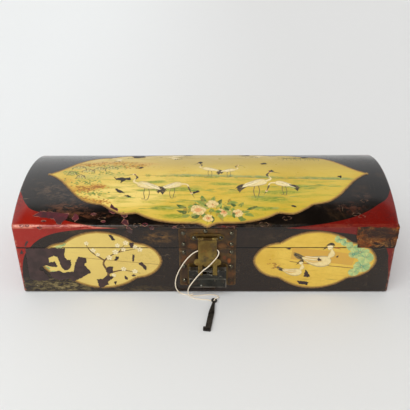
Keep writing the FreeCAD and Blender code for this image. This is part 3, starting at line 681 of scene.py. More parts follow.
# %% Lid skin
def make_lid_skin():
    wall = shoulder_centre_z - lid_rim
    bpy.ops.object.select_all(action="DESELECT")
    bpy.ops.mesh.primitive_plane_add(size=1, location=(0, -half_depth, lid_rim + wall / 2),
                                     rotation=(math.pi / 2, 0, 0))
    skin = sized("lid_skin", 2 * half_length, wall, 1)
    pick(skin, "edge", lambda a, b: min(a.z, b.z) > shoulder_centre_z - tiny)
    turn = math.pi / 2 - dome_angle
    bpy.ops.mesh.spin(steps=8, angle=turn, center=(0, -shoulder_y, shoulder_centre_z), axis=(1, 0, 0))
    bpy.ops.mesh.spin(steps=48, angle=2 * dome_angle, center=(0, 0, dome_centre_z), axis=(1, 0, 0))
    bpy.ops.mesh.spin(steps=8, angle=turn, center=(0, shoulder_y, shoulder_centre_z), axis=(1, 0, 0))
    bpy.ops.mesh.extrude_edges_move(TRANSFORM_OT_translate={"value": (0, 0, -wall)})
    for end in (-half_length, half_length):
        pick(skin, "edge", lambda a, b: max(abs(a.x - end), abs(b.x - end)) < tiny)
        bpy.ops.mesh.edge_face_add()
    tidy_shell(skin)
    pick(skin, "edge", lambda a, b: abs(a.x - b.x) < tiny and abs(abs(a.x) - half_length) < tiny
         and max(a.z, b.z) > lid_rim + tiny)
    bpy.ops.mesh.bevel(offset=end_edge_radius, segments=4, affect="EDGES")
    bpy.ops.object.mode_set(mode="OBJECT")
    cut(skin, (1, 0, 0), spaced(-half_length + flat_end, half_length - flat_end, 14 * mm))
    for vertex in skin.data.vertices:
        around = girth(vertex.co.y, vertex.co.z)
        if abs(around) < dome_arc and abs(vertex.co.x) < half_length - end_edge_radius:
            vertex.co = lid_point(vertex.co.x, around, 0)
    finish_skin(skin, "lid", "lid_hide")
    return skin


lid_skin = make_lid_skin()
print("lid skin faces:", len(lid_skin.data.polygons))

# %% [markdown]
# ## The base's skin
# The base is a plain open box of hide with round upright corners and a rounder foot, so it starts as a
# cube, loses its top, and its edges are bevelled.

# %% Base skin
def make_base_skin():
    bpy.ops.object.select_all(action="DESELECT")
    bpy.ops.mesh.primitive_cube_add(size=1, location=(0, 0, base_rim / 2))
    skin = sized("base_skin", 2 * half_length, 2 * half_depth, base_rim)
    pick(skin, "face", lambda centre, normal: normal.z > 0.5)
    bpy.ops.mesh.delete(type="FACE")
    pick(skin, "edge", lambda a, b: abs(a.z - b.z) > tiny)
    bpy.ops.mesh.bevel(offset=end_edge_radius, segments=4, affect="EDGES")
    pick(skin, "edge", lambda a, b: max(a.z, b.z) < tiny)
    bpy.ops.mesh.bevel(offset=foot_radius, segments=4, affect="EDGES")
    bpy.ops.object.mode_set(mode="OBJECT")
    cut(skin, (1, 0, 0), spaced(-half_length + flat_end, half_length - flat_end, 28 * mm))
    finish_skin(skin, "base", "base_side_hide", "base_bottom_hide")
    return skin


base_skin = make_base_skin()
print("base skin faces:", len(base_skin.data.polygons))

# %% [markdown]
# ## The floor and the light
# A pale floor carries the case's soft shadow. One wide lamp shines from the front, above and a little to
# the left, and a sky that is brighter low down than overhead does the rest. Gloss shows what surrounds a
# thing, so mirrored rays see a room of their own: pale behind, dark overhead and in front, and with one
# small bright window that the lacquer's shoulder catches.

# %% Floor, sky and lamp
room_behind_floor = 0.79
window_direction = Vector((-0.42, -0.74, 0.52)).normalized()
window_strength = 8.0
lamp_direction = Vector((0.2, 0.48, -0.85))


def make_floor():
    bpy.ops.object.select_all(action="DESELECT")
    bpy.ops.mesh.primitive_plane_add(size=12)
    floor = bpy.context.object
    floor.name = "floor"
    finish, bench, shader = new_finish("pale_floor")
    place = bench.place()
    across, ahead = bench.parts(place)[:2]
    # Painted light: the floor is paler at the left and in front of the case, and greyer to the right, as the light
    # falls off across it.
    colour = bench.mix(bench.step(across, -0.55, 0.3), tone(236, 238, 238), tone(219, 219, 218))
    colour = bench.wash(colour, tone(246, 244, 238), bench.step(ahead, -0.05, -0.3), 0.2)
    colour = bench.wash(colour, tone(230, 230, 228), bench.noise(place, 0.8, 2.0), 0.2)
    bench.feed(shader.inputs["Base Color"], colour)
    shader.inputs["Roughness"].default_value = 0.9
    floor.data.materials.append(finish)
    return floor


def make_sky():
    world = bpy.data.worlds.new("studio")
    world.use_nodes = True
    bpy.context.scene.world = world
    bench = Bench(world.node_tree)
    direction = bench.add("ShaderNodeTexCoord").outputs["Generated"]
    aside, ahead, up = bench.parts(direction)[:3]
    room = bench.remap(up, 0.2, 0.95, 0.9, 0.46)
    # What gloss sees grows paler upwards and to the left, ends before the zenith, and is dim in front.
    left = bench.remap(aside, -0.25, 0.2, 1.0, 0.0)
    edge = bench.minus(up, bench.times(left, 0.03))
    mirrored = bench.remap(up, 0.1, 0.85, 0.62, 1.0)
    mirrored = bench.times(mirrored, bench.plus(1.0, bench.times(left, 0.6)))
    mirrored = bench.times(mirrored, bench.step(edge, 0.895, 0.85))
    mirrored = bench.times(mirrored, bench.remap(ahead, -0.5, 0.1, 0.2, 1.0))
    towards = bench.add("ShaderNodeVectorMath", direction, window_direction, operation="DOT_PRODUCT")
    window = bench.remap(towards.outputs["Value"], 0.945, 0.97, 0.0, window_strength)
    ray = bench.add("ShaderNodeLightPath").outputs
    strength = bench.either(ray["Is Glossy Ray"], room, bench.plus(mirrored, window))
    strength = bench.either(ray["Is Camera Ray"], strength, room_behind_floor)
    background = world.node_tree.nodes["Background"]
    background.inputs["Color"].default_value = (1, 1, 1, 1)
    bench.feed(background.inputs["Strength"], strength)


def make_lamp():
    data = bpy.data.lights.new("soft_lamp", "SUN")
    data.energy = 1.5
    data.angle = math.radians(50)
    lamp = put_in_scene(bpy.data.objects.new("soft_lamp", data))
    lamp.visible_glossy = False
    lamp.rotation_mode = "QUATERNION"
    lamp.rotation_quaternion = lamp_direction.to_track_quat("-Z", "Y")


floor = make_floor()
make_sky()
make_lamp()
print("stage:", floor.name)

# %% [markdown]
# ## The string, its knot and the key
# The string is soft twisted cotton. Its line is one smooth curve through the places where it lies: out
# from behind the hasp, down to the floor, through the key's eye, back to its knot and up over the lock
# case to the hasp again. The twist is real: three lobes that turn as they go along that line.

# %% The twisted string
string_route = [
    (0.4, -118.0, 91.3), (-10.6, -117.9, 89.4), (-20.9, -117.6, 81.7), (-30.2, -118.0, 70.2),
    (-37.9, -118.0, 56.6), (-44.4, -117.3, 42.0), (-48.2, -116.5, 27.6), (-48.6, -116.4, 14.4),
    (-45.2, -117.2, 5.4), (-38.8, -118.4, 0.95), (-31.0, -120.9, 0.95), (-22.6, -122.9, 0.95),
    (-14.2, -124.2, 0.95), (-5.4, -122.1, 0.95), (4.4, -120.9, 0.95), (14.4, -121.0, 0.95),
    (21.6, -124.6, 0.95), (22.9, -130.0, 3.0), (20.0, -133.6, 5.4), (15.4, -136.9, 5.7),
    (14.4, -137.9, 0.95), (9.8, -135.5, 0.95), (3.2, -133.1, 0.95), (-6.6, -132.7, 0.95),
    (-15.4, -130.7, 0.95), (-22.6, -127.4, 0.95), (-26.9, -124.3, 4.2), (-28.0, -124.7, 11.0),
    (-27.0, -127.2, 19.0), (-23.6, -127.8, 27.0), (-17.4, -127.9, 37.0), (-10.0, -127.9, 47.9),
    (-2.4, -127.2, 57.0), (4.6, -126.1, 61.9), (11.0, -125.2, 69.4), (19.2, -124.3, 79.8),
    (22.9, -122.4, 87.3), (20.9, -118.6, 90.6), (14.2, -117.9, 91.8), (7.8, -118.2, 91.6),
    (1.4, -118.0, 91.4),
]
string_radius = 0.9 * mm
strands = 3
twist_pitch = 4.2 * mm


def spline_path(name, route):
    """The points along one smooth curve whose control points are the route, in metres."""
    curve = bpy.data.curves.new(name, "CURVE")
    curve.dimensions = "3D"
    curve.resolution_u = 12
    spline = curve.splines.new("NURBS")
    spline.points.add(len(route) - 1)
    for point, spot in zip(spline.points, route):
        point.co = (*(c * mm for c in spot), 1.0)
    spline.order_u = 3
    spline.use_endpoint_u = True
    carrier = bpy.data.objects.new(name, curve)
    mesh = bpy.data.meshes.new_from_object(carrier)
    path = [vertex.co.copy() for vertex in mesh.vertices]
    bpy.data.objects.remove(carrier)
    return path


# %% [markdown]
# A twisted string could be three tubes wound about each other. One tube with a three-lobed section
# that turns looks the same at this size, and it has no inner faces.

# %% The twist
def headings(line):
    """The direction of a line at each of its spots."""
    return [(b - a).normalized() for a, b in zip(line[:1] + line, line[1:] + line[-1:])]


def sweep(name, path, radius, sides, depth):
    """A tube along the path, whose section is a twist of strands that turns once a pitch."""
    along = [0.0]
    for a, b in zip(path, path[1:]):
        along.append(along[-1] + (b - a).length)
    verts, faces, side = [], [], Vector((0, 0, 1))
    for spot, ahead, so_far in zip(path, headings(path), along):
        side = (side - ahead * side.dot(ahead)).normalized()
        other = ahead.cross(side)
        turn = 2 * math.pi * so_far / twist_pitch
        for k in range(sides):
            angle = 2 * math.pi * k / sides
            reach = radius * (1 - depth + depth * abs(math.cos(strands * (angle - turn) / 2)))
            verts.append(spot + (side * math.cos(angle) + other * math.sin(angle)) * reach)
    for i in range(len(path) - 1):
        for k in range(sides):
            n = (k + 1) % sides
            faces.append((i * sides + k, i * sides + n, (i + 1) * sides + n, (i + 1) * sides + k))
    faces.append(tuple(reversed(range(sides))))
    faces.append(tuple(range((len(path) - 1) * sides, len(path) * sides)))
    mesh = bpy.data.meshes.new(name)
    mesh.from_pydata(verts, [], faces)
    lay_out(mesh, "wrap", [(reach, k / sides) for reach in along for k in range(sides)])
    return put_in_scene(bpy.data.objects.new(name, mesh))


string_path = spline_path("string_line", string_route)
print("string points:", len(string_path))

# %% [markdown]
# The cotton is a warm white, dirty where it was held, with fibres that scatter light at grazing
# angles. Sheen gives that without a single hair.

# %% Cotton
def make_twine():
    finish, bench, shader = new_finish("cotton_twine")
    place = bench.place()
    fibre = bench.noise(place, 2600.0, 3.0, 0.7)
    soil = bench.noise(place, 60.0, 3.0)
    colour = bench.mix(bench.step(fibre, 0.35, 0.7), tone(228, 210, 180), tone(250, 240, 222))
    colour = bench.wash(colour, tone(222, 196, 156), bench.step(soil, 0.5, 0.75), 0.4)
    bench.surface(shader, colour, bench.remap(fibre, 0.0, 1.0, 0.75, 0.95), fibre, 0.5, 0.15 * mm)
    shader.inputs["Sheen Weight"].default_value = 0.25
    return finish


twine = make_twine()
string = sweep("string_loop_twisted", string_path, string_radius, 24, 0.22)
smooth(string, 60)
hand_over(string, "hasp", "twine", twine, "string_loop")
print("string faces:", len(string.data.polygons))

# %% [markdown]
# The loop is closed by a small overhand knot, pulled tight, with a cut end. Its line is the trefoil that
# an overhand knot makes, which is thick enough here to look like a knot from any side.

# %% The knot
knot_centre = Vector((-24.4, -124.4, 2.75)) * mm
knot_tail = Vector((-19.2, -123.0, 4.6)) * mm


def make_knot():
    """A three-lobed line, and a cut end that stands out of it."""
    line = []
    for i in range(97):
        t = 2 * math.pi * i / 96
        lobe = Vector((math.sin(t) + 2 * math.sin(2 * t), math.cos(t) - 2 * math.cos(2 * t), -1.1 * math.sin(3 * t)))
        line.append(knot_centre + lobe * 0.6 * mm)
    knot = sweep("string_knot_tied", line, string_radius * 0.92, 16, 0.2)
    lean = Vector((0.2, -0.4, 0.9)) * mm
    tail_line = [knot_centre.lerp(knot_tail, i / 12) + lean * math.sin(i / 12 * math.pi) for i in range(13)]
    tail = sweep("knot_tail", tail_line, string_radius * 0.9, 16, 0.2)
    only(knot)
    tail.select_set(True)
    bpy.ops.object.join()
    smooth(knot, 60)
    hand_over(knot, "hasp", "twine", twine, "string_knot")
    return knot


knot = make_knot()
print("knot faces:", len(knot.data.polygons))

# %% [markdown]
# ## Brass and iron
# Sheet brass that has hung on a case for a century is brown, with gold left where it is touched, orange
# where its lacquer went, and black grime in patches. Its raised edges are lighter, partly worn and partly
# a painted highlight. The iron is nearly black, and pale along its raised edges in the same way.

# %% Metal finishes
def make_metal(name, colours, shine=0.8, scale=1.0, polish=0.22, stains_and_painted_light=()):
    """An old metal from five colours: bright, dark, stained, grimy and rubbed; the rubbed colour marks scratches and
    lightens raised edges as wear and as a painted highlight. Stains and patches of painted light lie where given.
    """
    bright, dark, stain, grime, rub = (tone(*colour) for colour in colours)
    finish, bench, shader = new_finish(name)
    place = bench.place()
    cloud = bench.noise(place, 34.0 * scale, 6.0, 0.68, 0.3)
    spot = bench.noise(place, 88.0 * scale, 5.0, 0.7, 0.6)
    dirt = bench.noise(bench.stretch(place, 1.0, 1.0, 0.7), 61.0 * scale, 6.0, 0.72)
    pits = bench.noise(place, 900.0, 3.0, 0.6)
    colour = bench.mix(bench.step(cloud, 0.36, 0.64), bright, dark)
    colour = bench.wash(colour, stain, bench.step(spot, 0.54, 0.68), 0.7)
    spots = bench.parts(place)
    for centre, size, share, shade in stains_and_painted_light:
        reach = bench.patch(spots[0], spots[2], centre, size, 0.35)
        colour = bench.wash(colour, tone(*shade), reach, bench.remap(dirt, 0.3, 0.6, share, share * 0.55))
    dirty = bench.step(dirt, 0.52, 0.66)
    colour = bench.wash(colour, grime, dirty, 0.85)
    # Raised edges are lighter: worn metal and a painted highlight at once.
    raised_edges_worn_and_highlit = bench.step(bench.add("ShaderNodeNewGeometry").outputs["Pointiness"], 0.505, 0.56)
    colour = bench.wash(colour, rub, bench.times(raised_edges_worn_and_highlit, bench.step(spot, 0.3, 0.55)), 0.6)
    scratches = use_effect(bench, hair_scratches, Vector=place, Scale=34.0, Amount=0.6)
    colour = bench.mix(scratches, colour, rub)
    rough = bench.plus(bench.times(spot, 0.3), bench.times(dirty, 0.15))
    height = bench.plus(bench.times(cloud, 1.2), bench.times(pits, 0.12))
    bench.surface(shader, colour, bench.plus(rough, polish), height, 0.5, 0.5 * mm)
    bench.feed(shader.inputs["Metallic"], bench.minus(shine, bench.times(dirty, 0.5 * shine)))
    return finish


print("colours of a metal: bright, dark, stained, grimy, rubbed")

# %% [markdown]
# Each metal is the same recipe with five colours of its own. The plate also has stains in known places,
# half brown and half dark, where a thumb, the hasp and the key have been, and a near-black spot at its
# empty nail hole that is painted shade of the hole. The lock case has two stains, and pale lines along
# its edges and small bright spots at its rivets that are painted highlights.

# %% The metals of the case
plate_stains_and_hole_shade = [
    ((-19, 95), (10, 8), 0.9, (136, 88, 48)), ((27, 95), (10, 8), 0.9, (132, 88, 50)),
    ((-3, 118), (27, 10), 0.85, (122, 88, 30)), ((4.5, 122), (9, 4), 0.8, (44, 34, 24)),
    ((-32, 70), (11, 12), 0.85, (112, 70, 44)), ((-24, 86), (21, 5), 0.85, (66, 56, 52)),
    ((35, 86), (18, 6), 0.8, (68, 58, 52)), ((38.7, 67), (4, 7), 0.95, (160, 88, 44)),
    ((31.5, 73), (4.5, 5), 0.8, (134, 74, 48)), ((41, 38), (9, 10), 0.8, (108, 76, 52)),
    ((-32, 36), (9, 19), 0.7, (74, 60, 52)), ((-35, 123), (8, 8), 0.8, (54, 44, 36)),
    # The second patch on the next line is a near-black spot at the empty nail hole: painted shade of the hole.
    ((43, 116), (9, 14), 0.7, (64, 54, 40)), ((40.3, 26), (2.4, 2.9), 1.0, (10, 7, 6)),
]
case_low, case_high = (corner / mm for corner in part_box("lock_case"))
case_middle = ((case_low + case_high) / 2).x
# The first four patches are pale lines along the case's edges and the next four are small bright spots at its
# rivets: painted highlights. The last two are stains.
case_highlights_and_stains = [
    ((case_middle, case_low.z + 0.5), (36, 1.3), 1.0, (172, 160, 146)),
    ((case_high.x - 0.4, (case_low.z + 30) / 2), (1.2, 17), 0.9, (150, 140, 128)),
    ((case_low.x + 0.4, (case_low.z + 34) / 2), (1.0, 19), 0.8, (128, 112, 84)),
    ((case_middle, case_high.z - 0.6), (32, 1.1), 0.7, (130, 122, 108)),
    ((-6, 24.5), (1.7, 2.1), 1.0, (206, 202, 188)), ((-12.5, 19), (2.6, 1.7), 1.0, (168, 158, 132)),
    ((25, 43.5), (2.8, 1.3), 1.0, (146, 140, 128)), ((19, 20.5), (3.4, 1.0), 0.9, (120, 112, 98)),
    ((14, 38), (14, 4), 0.5, (58, 66, 56)), ((-16, 30), (9, 6), 0.6, (62, 50, 40)),
]
hasp_brass = make_metal(
    "gold_brown_brass", [(134, 112, 56), (100, 78, 38), (138, 92, 46), (66, 54, 32), (156, 130, 76)])
cloud_brass = make_metal(
    "dull_gold_brass", [(98, 76, 34), (66, 48, 22), (110, 70, 32), (40, 30, 16), (140, 112, 58)])
plate_brass = make_metal(
    "brown_plate_brass", [(96, 74, 48), (62, 48, 38), (140, 84, 44), (38, 32, 27), (132, 110, 76)],
    stains_and_painted_light=plate_stains_and_hole_shade)
nail_brass = make_metal(
    "nail_brass", [(92, 86, 70), (52, 47, 38), (84, 70, 48), (30, 29, 25), (170, 164, 140)],
    shine=0.95, scale=3.0, polish=0.08)
dark_iron = make_metal(
    "blackened_iron", [(52, 51, 44), (32, 31, 27), (70, 54, 38), (24, 22, 19), (166, 158, 144)],
    shine=0.6, stains_and_painted_light=case_highlights_and_stains)
key_iron = make_metal(
    "key_iron", [(40, 35, 31), (24, 20, 18), (54, 38, 28), (16, 14, 13), (90, 84, 76)], shine=0.55, scale=2.0)
spring_steel = make_metal(
    "dull_steel", [(120, 118, 112), (84, 82, 78), (104, 84, 62), (52, 48, 44), (190, 188, 182)], shine=0.9)
print("finishes so far:", len(bpy.data.materials))

# %% [markdown]
# ## Boards, paper and patch
# Behind the hide are planed boards, lined with buff paper. They show only when the lid is open.

# %% Wood and paper finishes
def make_wood():
    finish, bench, shader = new_finish("planed_board")
    place = bench.place()
    grain = bench.noise(bench.stretch(place, 1.0, 26.0, 26.0), 9.0, 6.0, 0.65, 0.5)
    pores = bench.noise(bench.stretch(place, 1.0, 14.0, 14.0), 70.0, 3.0, 0.7)
    colour = bench.mix(bench.step(grain, 0.35, 0.68), tone(176, 142, 100), tone(132, 98, 64))
    colour = bench.wash(colour, tone(92, 64, 42), bench.step(pores, 0.58, 0.75), 0.5)
    bench.surface(shader, colour, bench.remap(grain, 0.0, 1.0, 0.55, 0.8), pores, 0.4, 0.3 * mm)
    return finish


def make_paper():
    finish, bench, shader = new_finish("buff_paper")
    place = bench.place()
    age = bench.noise(place, 9.0, 5.0, 0.6)
    foxing = bench.cells(place, 34.0)
    fibre = bench.noise(bench.stretch(place, 1.0, 3.0, 1.0), 300.0, 4.0, 0.7)
    colour = bench.mix(bench.step(age, 0.35, 0.7), tone(208, 190, 152), tone(176, 148, 104))
    spots = bench.times(bench.step(foxing, 0.22, 0.05), bench.step(age, 0.45, 0.6))
    colour = bench.wash(colour, tone(138, 96, 58), spots, 0.6)
    colour = bench.wash(colour, tone(226, 212, 180), bench.step(fibre, 0.55, 0.7), 0.2)
    bench.surface(shader, colour, bench.remap(age, 0.0, 1.0, 0.8, 0.95), fibre, 0.3, 0.15 * mm)
    return finish


print("wood and paper can be made")

# %% [markdown]
# The patch on the corner is rough hide without lacquer, so it is brown and dull, stained by rust and
# dirt, and shows torn fibres. Its colours change within millimetres, which needs noises of high scale.

# %% Worn hide
def make_worn_hide():
    """Bare brown hide of a mend, with rust stains, dark dirt and torn pale fibres."""
    finish, bench, shader = new_finish("worn_brown_hide")
    place = bench.place()
    cloud = bench.noise(place, 46.0, 6.0, 0.7, 0.5)
    rust = bench.noise(bench.stretch(place, 0.6, 1.0, 1.4), 90.0, 6.0, 0.72, 0.8)
    fibre = bench.noise(place, 420.0, 4.0, 0.75)
    colour = bench.mix(bench.step(cloud, 0.42, 0.56), tone(52, 34, 26), tone(96, 52, 26))
    colour = bench.mix(bench.step(rust, 0.54, 0.61), colour, tone(150, 78, 32))
    bare = bench.noise(bench.stretch(place, 0.7, 1.0, 1.3), 27.0, 4.0, 0.7)
    colour = bench.mix(bench.step(bare, 0.48, 0.54), colour, tone(48, 36, 30))
    torn = bench.step(bench.calc("ABSOLUTE", bench.minus(rust, 0.5)), 0.02, 0.005)
    colour = bench.wash(colour, tone(180, 124, 66), torn, bench.step(cloud, 0.4, 0.6))
    colour = bench.wash(colour, tone(164, 102, 50), bench.step(fibre, 0.58, 0.7), 0.6)
    spots = bench.parts(place)
    dirt = bench.patch(spots[0], spots[2], (272, 120), (30, 13), 0.6)
    colour = bench.wash(colour, tone(54, 38, 32), bench.times(dirt, bench.step(bare, 0.3, 0.42)), 0.8)
    height = bench.plus(rust, bench.times(fibre, 0.5))
    bench.surface(shader, colour, bench.remap(rust, 0.0, 1.0, 0.5, 0.9), height, 0.8, 0.8 * mm)
    shader.inputs["Specular IOR Level"].default_value = 0.2
    return finish


print("the patch's finish can be made")

# %% [markdown]
# Boards, lining, nails and pins have the right shape already, so they keep their meshes and only get a
# better finish.

# %% Dressing plain pieces
board = make_wood()
paper = make_paper()
worn_hide = make_worn_hide()


def dress(finish, *names):
    """Gives nodes whose shape is right already a better finish."""
    for name in names:
        for slot in frame["nodes"][name].material_slots:
            slot.material = finish


dress(board, "base_front_board", "base_back_board", "base_left_end", "base_right_end", "base_bottom_board",
      "lid_dome_board", "lid_front_board", "lid_back_board", "lid_left_end", "lid_right_end",
      "lip_front", "lip_back", "lip_left", "lip_right")
dress(paper, "base_lining", "lid_lining")
dress(nail_brass, "lower_plate_nails", "upper_plate_nails", "hasp_leaf_nails", "lock_case_rivets",
      "hinge_base_nails", "hinge_lid_nails", "hinge_left_pin", "hinge_right_pin", "hasp_pin")
dress(hasp_brass, "hasp_loops")
dress(plate_brass, "bolt_guides")
dress(dark_iron, "lock_bolt")
dress(spring_steel, "bolt_spring")
print("boards, paper and small metal are dressed")

# %% [markdown]
# ## Metal with worn edges
# A cut plate looks new while its edges are sharp. Each visible plate is copied from its node, its
# triangles are joined into flat faces, its edges are rubbed round, and thin sheet is dented a little.

# %% Worn copies
flat_degrees, sharp_degrees = 0.6, 32
dent_grid = 4 * mm


def worn_copy(node, finish, body, slot, edge, dent=0.0):
    """A copy of a node with its edges rubbed round and, if asked, its faces dented by noise."""
    piece = put_in_scene(bpy.data.objects.new(node + "_worn", frame["nodes"][node].data.copy()))
    only(piece)
    bpy.ops.mesh.customdata_custom_splitnormals_clear()
    bpy.ops.object.mode_set(mode="EDIT")
    bpy.ops.mesh.select_all(action="SELECT")
    bpy.ops.mesh.remove_doubles(threshold=tiny / 5)
    bpy.ops.mesh.dissolve_limited(angle_limit=math.radians(flat_degrees))
    bpy.ops.object.mode_set(mode="OBJECT")
    apply_modifier(piece, "BEVEL", width=edge, segments=2, limit_method="ANGLE",
                   angle_limit=math.radians(sharp_degrees), use_clamp_overlap=True)
    if dent:
        low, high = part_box(node)
        cut(piece, (1, 0, 0), spaced(low.x, high.x, dent_grid))
        cut(piece, (0, 0, 1), spaced(low.z, high.z, dent_grid))
        normals = [vertex.normal.copy() for vertex in piece.data.vertices]
        for vertex, normal in zip(piece.data.vertices, normals):
            spot = vertex.co
            push = noise.noise(spot * 55) + 0.6 * noise.noise(spot * 140)
            if abs(normal.y) > 0.3:
                vertex.co = spot + Vector((0, -1, 0)) * push * dent
    smooth(piece, sharp_degrees)
    hand_over(piece, body, slot, finish, node)
    return piece


worn_plates = [
    ("lock_plate_lower", plate_brass, "base", 0.25, 0.12), ("lock_plate_upper", plate_brass, "lid", 0.25, 0.12),
    ("cloud_plate", cloud_brass, "base", 0.3, 0.1), ("lock_case", dark_iron, "base", 0.35, 0.1),
    ("hasp_plate", hasp_brass, "hasp", 0.4, 0.12), ("hasp_leaf", cloud_brass, "lid", 0.25, 0.08),
]
for side in ("left", "right"):
    worn_plates += [(f"hinge_{side}_base_leaf", plate_brass, "base", 0.2, 0.0),
                    (f"hinge_{side}_lid_leaf", plate_brass, "lid", 0.2, 0.0)]
for node, finish, body, edge, dent in worn_plates:
    worn_copy(node, finish, body, "dark_iron" if finish == dark_iron else "aged_brass", edge * mm, dent * mm)
dress(key_iron, "key")

# %% [markdown]
# ## The mended corner
# The right front corner of the lid has a patch of bare hide, torn at its edges and lifting. Its node is
# copied, cut into a fine net, and the net is pushed about by noise, more across it than out of it. The
# noise gets a seed, so that the tear is the same on every run.

# %% The torn patch
patch_seed = 37


def make_patch():
    low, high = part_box("corner_patch")
    patch = worn_copy("corner_patch", worn_hide, "lid", "worn_patch", 0.15 * mm)
    for direction, start, end in (((1, 0, 0), low.x, high.x), ((0, 1, 0), low.y, high.y),
                                  ((0, 0, 1), low.z, high.z)):
        cut(patch, direction, spaced(start, end, 2.4 * mm))
    noise.seed_set(patch_seed)
    for vertex in patch.data.vertices:
        spot = vertex.co
        tear = noise.noise_vector(spot * 48) * 3.4 * mm + noise.noise_vector(spot * 190) * 1.6 * mm
        tear += noise.noise_vector(spot * 520) * 0.5 * mm
        lump = (noise.noise(spot * 260) + 0.5 * noise.noise(spot * 600)) * 0.45 * mm
        out = Vector((0, -1, 0)) if spot.x < half_length - 1 * mm else Vector((1, 0, 0))
        tear -= out * tear.dot(out)
        vertex.co = spot + tear + out * (lump + 0.15 * mm)
        vertex.co.z = max(vertex.co.z, lid_rim + 0.1 * mm)
    smooth(patch, 50)
    return patch


patch = make_patch()
print("patch faces:", len(patch.data.polygons))

# %% [markdown]
# ## Outlines of the painted panels
# The large panel and the two medallions are lobed shapes, the same left and right and above and below,
# so a quarter is enough: runs of points from the top to the side, with a sharp corner between two runs.
# All three stand evenly about the lock.

# %% Panel outlines
lock_middle = sum(corner.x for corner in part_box("lock_plate_upper")) / 2 / mm
panel_quarter = [
    [(0, 121), (9, 116.5), (20, 114), (50, 113.5), (75, 109.5), (93, 104), (111.5, 95)],
    [(111.5, 95), (134, 97), (151, 89.5), (167, 78.5)],
    [(167, 78.5), (191, 73), (210, 59.5), (228, 38), (242, 20.5), (255, 8.5), (267.5, 0)],
]
medallion_quarter = [
    [(0, 57.5), (18, 55.3), (36, 49), (47, 42.5), (56, 36)],
    [(56, 36), (72, 32.5), (87, 23), (96, 9.5), (98.5, 0)],
]
medallion_reach = 171.0
medallion_height = 66.5
left_medallion = (lock_middle - medallion_reach, medallion_height)
right_medallion = (lock_middle + medallion_reach, medallion_height)
# A picture that crosses the joint is cut there: each body keeps what is above or below its rim.
halves = (("lid", lid_rim, None), ("base", None, base_rim))


def through(points, steps=6):
    """A smooth line through the points, with a few spots to each stretch."""
    spots = [Vector(point) for point in points]
    spots = [2 * spots[0] - spots[1], *spots, 2 * spots[-1] - spots[-2]]
    line = []
    for a, b, c, d in zip(spots, spots[1:], spots[2:], spots[3:]):
        for k in range(steps):
            t = k / steps
            line.append(0.5 * (2 * b + (c - a) * t + (2 * a - 5 * b + 4 * c - d) * t ** 2
                               + (3 * b - a - 3 * c + d) * t ** 3))
    return line + [spots[-2]]


def inside(outline, x, y, margin):
    """Whether a place lies inside an outline, and further than the margin from its sides."""
    crossings, near = 0, math.inf
    for (ax, ay), (bx, by) in zip(outline, outline[1:] + outline[:1]):
        if (ay > y) != (by > y) and x < ax + (y - ay) / (by - ay) * (bx - ax):
            crossings += 1
        near = min(near, math.hypot(x - ax, y - ay))
    return crossings % 2 == 1 and near > margin


def panel_runs(quarter, centre):
    """Every run of the whole outline, in order and with the inside on its left."""
    runs = []
    for flip_x, flip_y in ((1, 1), (-1, 1), (-1, -1), (1, -1)):
        mirrored = [[(centre[0] + x * flip_x, centre[1] + y * flip_y) for x, y in run] for run in quarter]
        if flip_x * flip_y > 0:
            mirrored = [run[::-1] for run in mirrored[::-1]]
        runs += mirrored
    return runs


def ring(runs):
    """One closed outline from the runs."""
    return [spot for run in runs for spot in through(run)[:-1]]


panel = panel_runs(panel_quarter, (lock_middle, 0))
print("panel runs", len(panel), "outline points", len(ring(panel)))

# %% [markdown]
# ## Laying paint
# A paint film starts flat: a filled circle whose rim is moved to the outline, cut into strips so that it
# can bend. Then each corner moves to its spot on the case, keeps its flat place as its UV, and the film
# gets its thickness. Its raised rim catches the light as old paint does.

# %% Flat sheets and how they are laid
film_lift, film_thickness = 0.12 * mm, 0.14 * mm
gold_lift, stroke_lift, stroke_thickness = 0.16 * mm, 0.17 * mm, 0.05 * mm
flake_lift, flake_rim_lift, flake_thickness = 0.2 * mm, 0.22 * mm, 0.04 * mm
front_loss_lift, panel_loss_lift = 0.34 * mm, 0.36 * mm


def flat_sheet(name, outline):
    """A flat filled shape from an outline in millimetres that runs left about its inside."""
    bpy.ops.object.select_all(action="DESELECT")
    bpy.ops.mesh.primitive_circle_add(vertices=len(outline), fill_type="NGON")
    sheet = bpy.context.object
    sheet.name = name
    for vertex, spot in zip(sheet.data.vertices, outline):
        vertex.co = (spot[0] * mm, spot[1] * mm, 0)
    only(sheet)
    bpy.ops.object.mode_set(mode="EDIT")
    bpy.ops.mesh.select_all(action="SELECT")
    bpy.ops.mesh.quads_convert_to_tris(ngon_method="BEAUTY")
    bpy.ops.object.mode_set(mode="OBJECT")
    if sum(face.normal.z for face in sheet.data.polygons) < 0:
        bpy.ops.object.mode_set(mode="EDIT")
        bpy.ops.mesh.select_all(action="SELECT")
        bpy.ops.mesh.flip_normals()
        bpy.ops.object.mode_set(mode="OBJECT")
    return sheet


def strips(sheet):
    """Cuts a flat sheet into small parts, so that it can follow a curved surface."""
    xs = [vertex.co.x for vertex in sheet.data.vertices]
    ys = [vertex.co.y for vertex in sheet.data.vertices]
    cut(sheet, (1, 0, 0), spaced(min(xs), max(xs), 12 * mm))
    cut(sheet, (0, 1, 0), spaced(min(ys), max(ys), 5 * mm))


def part_of(sheet, name, above=None, below=None):
    """A copy of a flat sheet, with only what is above or below a height if one is given."""
    piece = put_in_scene(bpy.data.objects.new(name, sheet.data.copy()))
    if above is not None:
        cut(piece, (0, 1, 0), [above], clear_below=True)
    if below is not None:
        cut(piece, (0, 1, 0), [below], clear_above=True)
    return piece


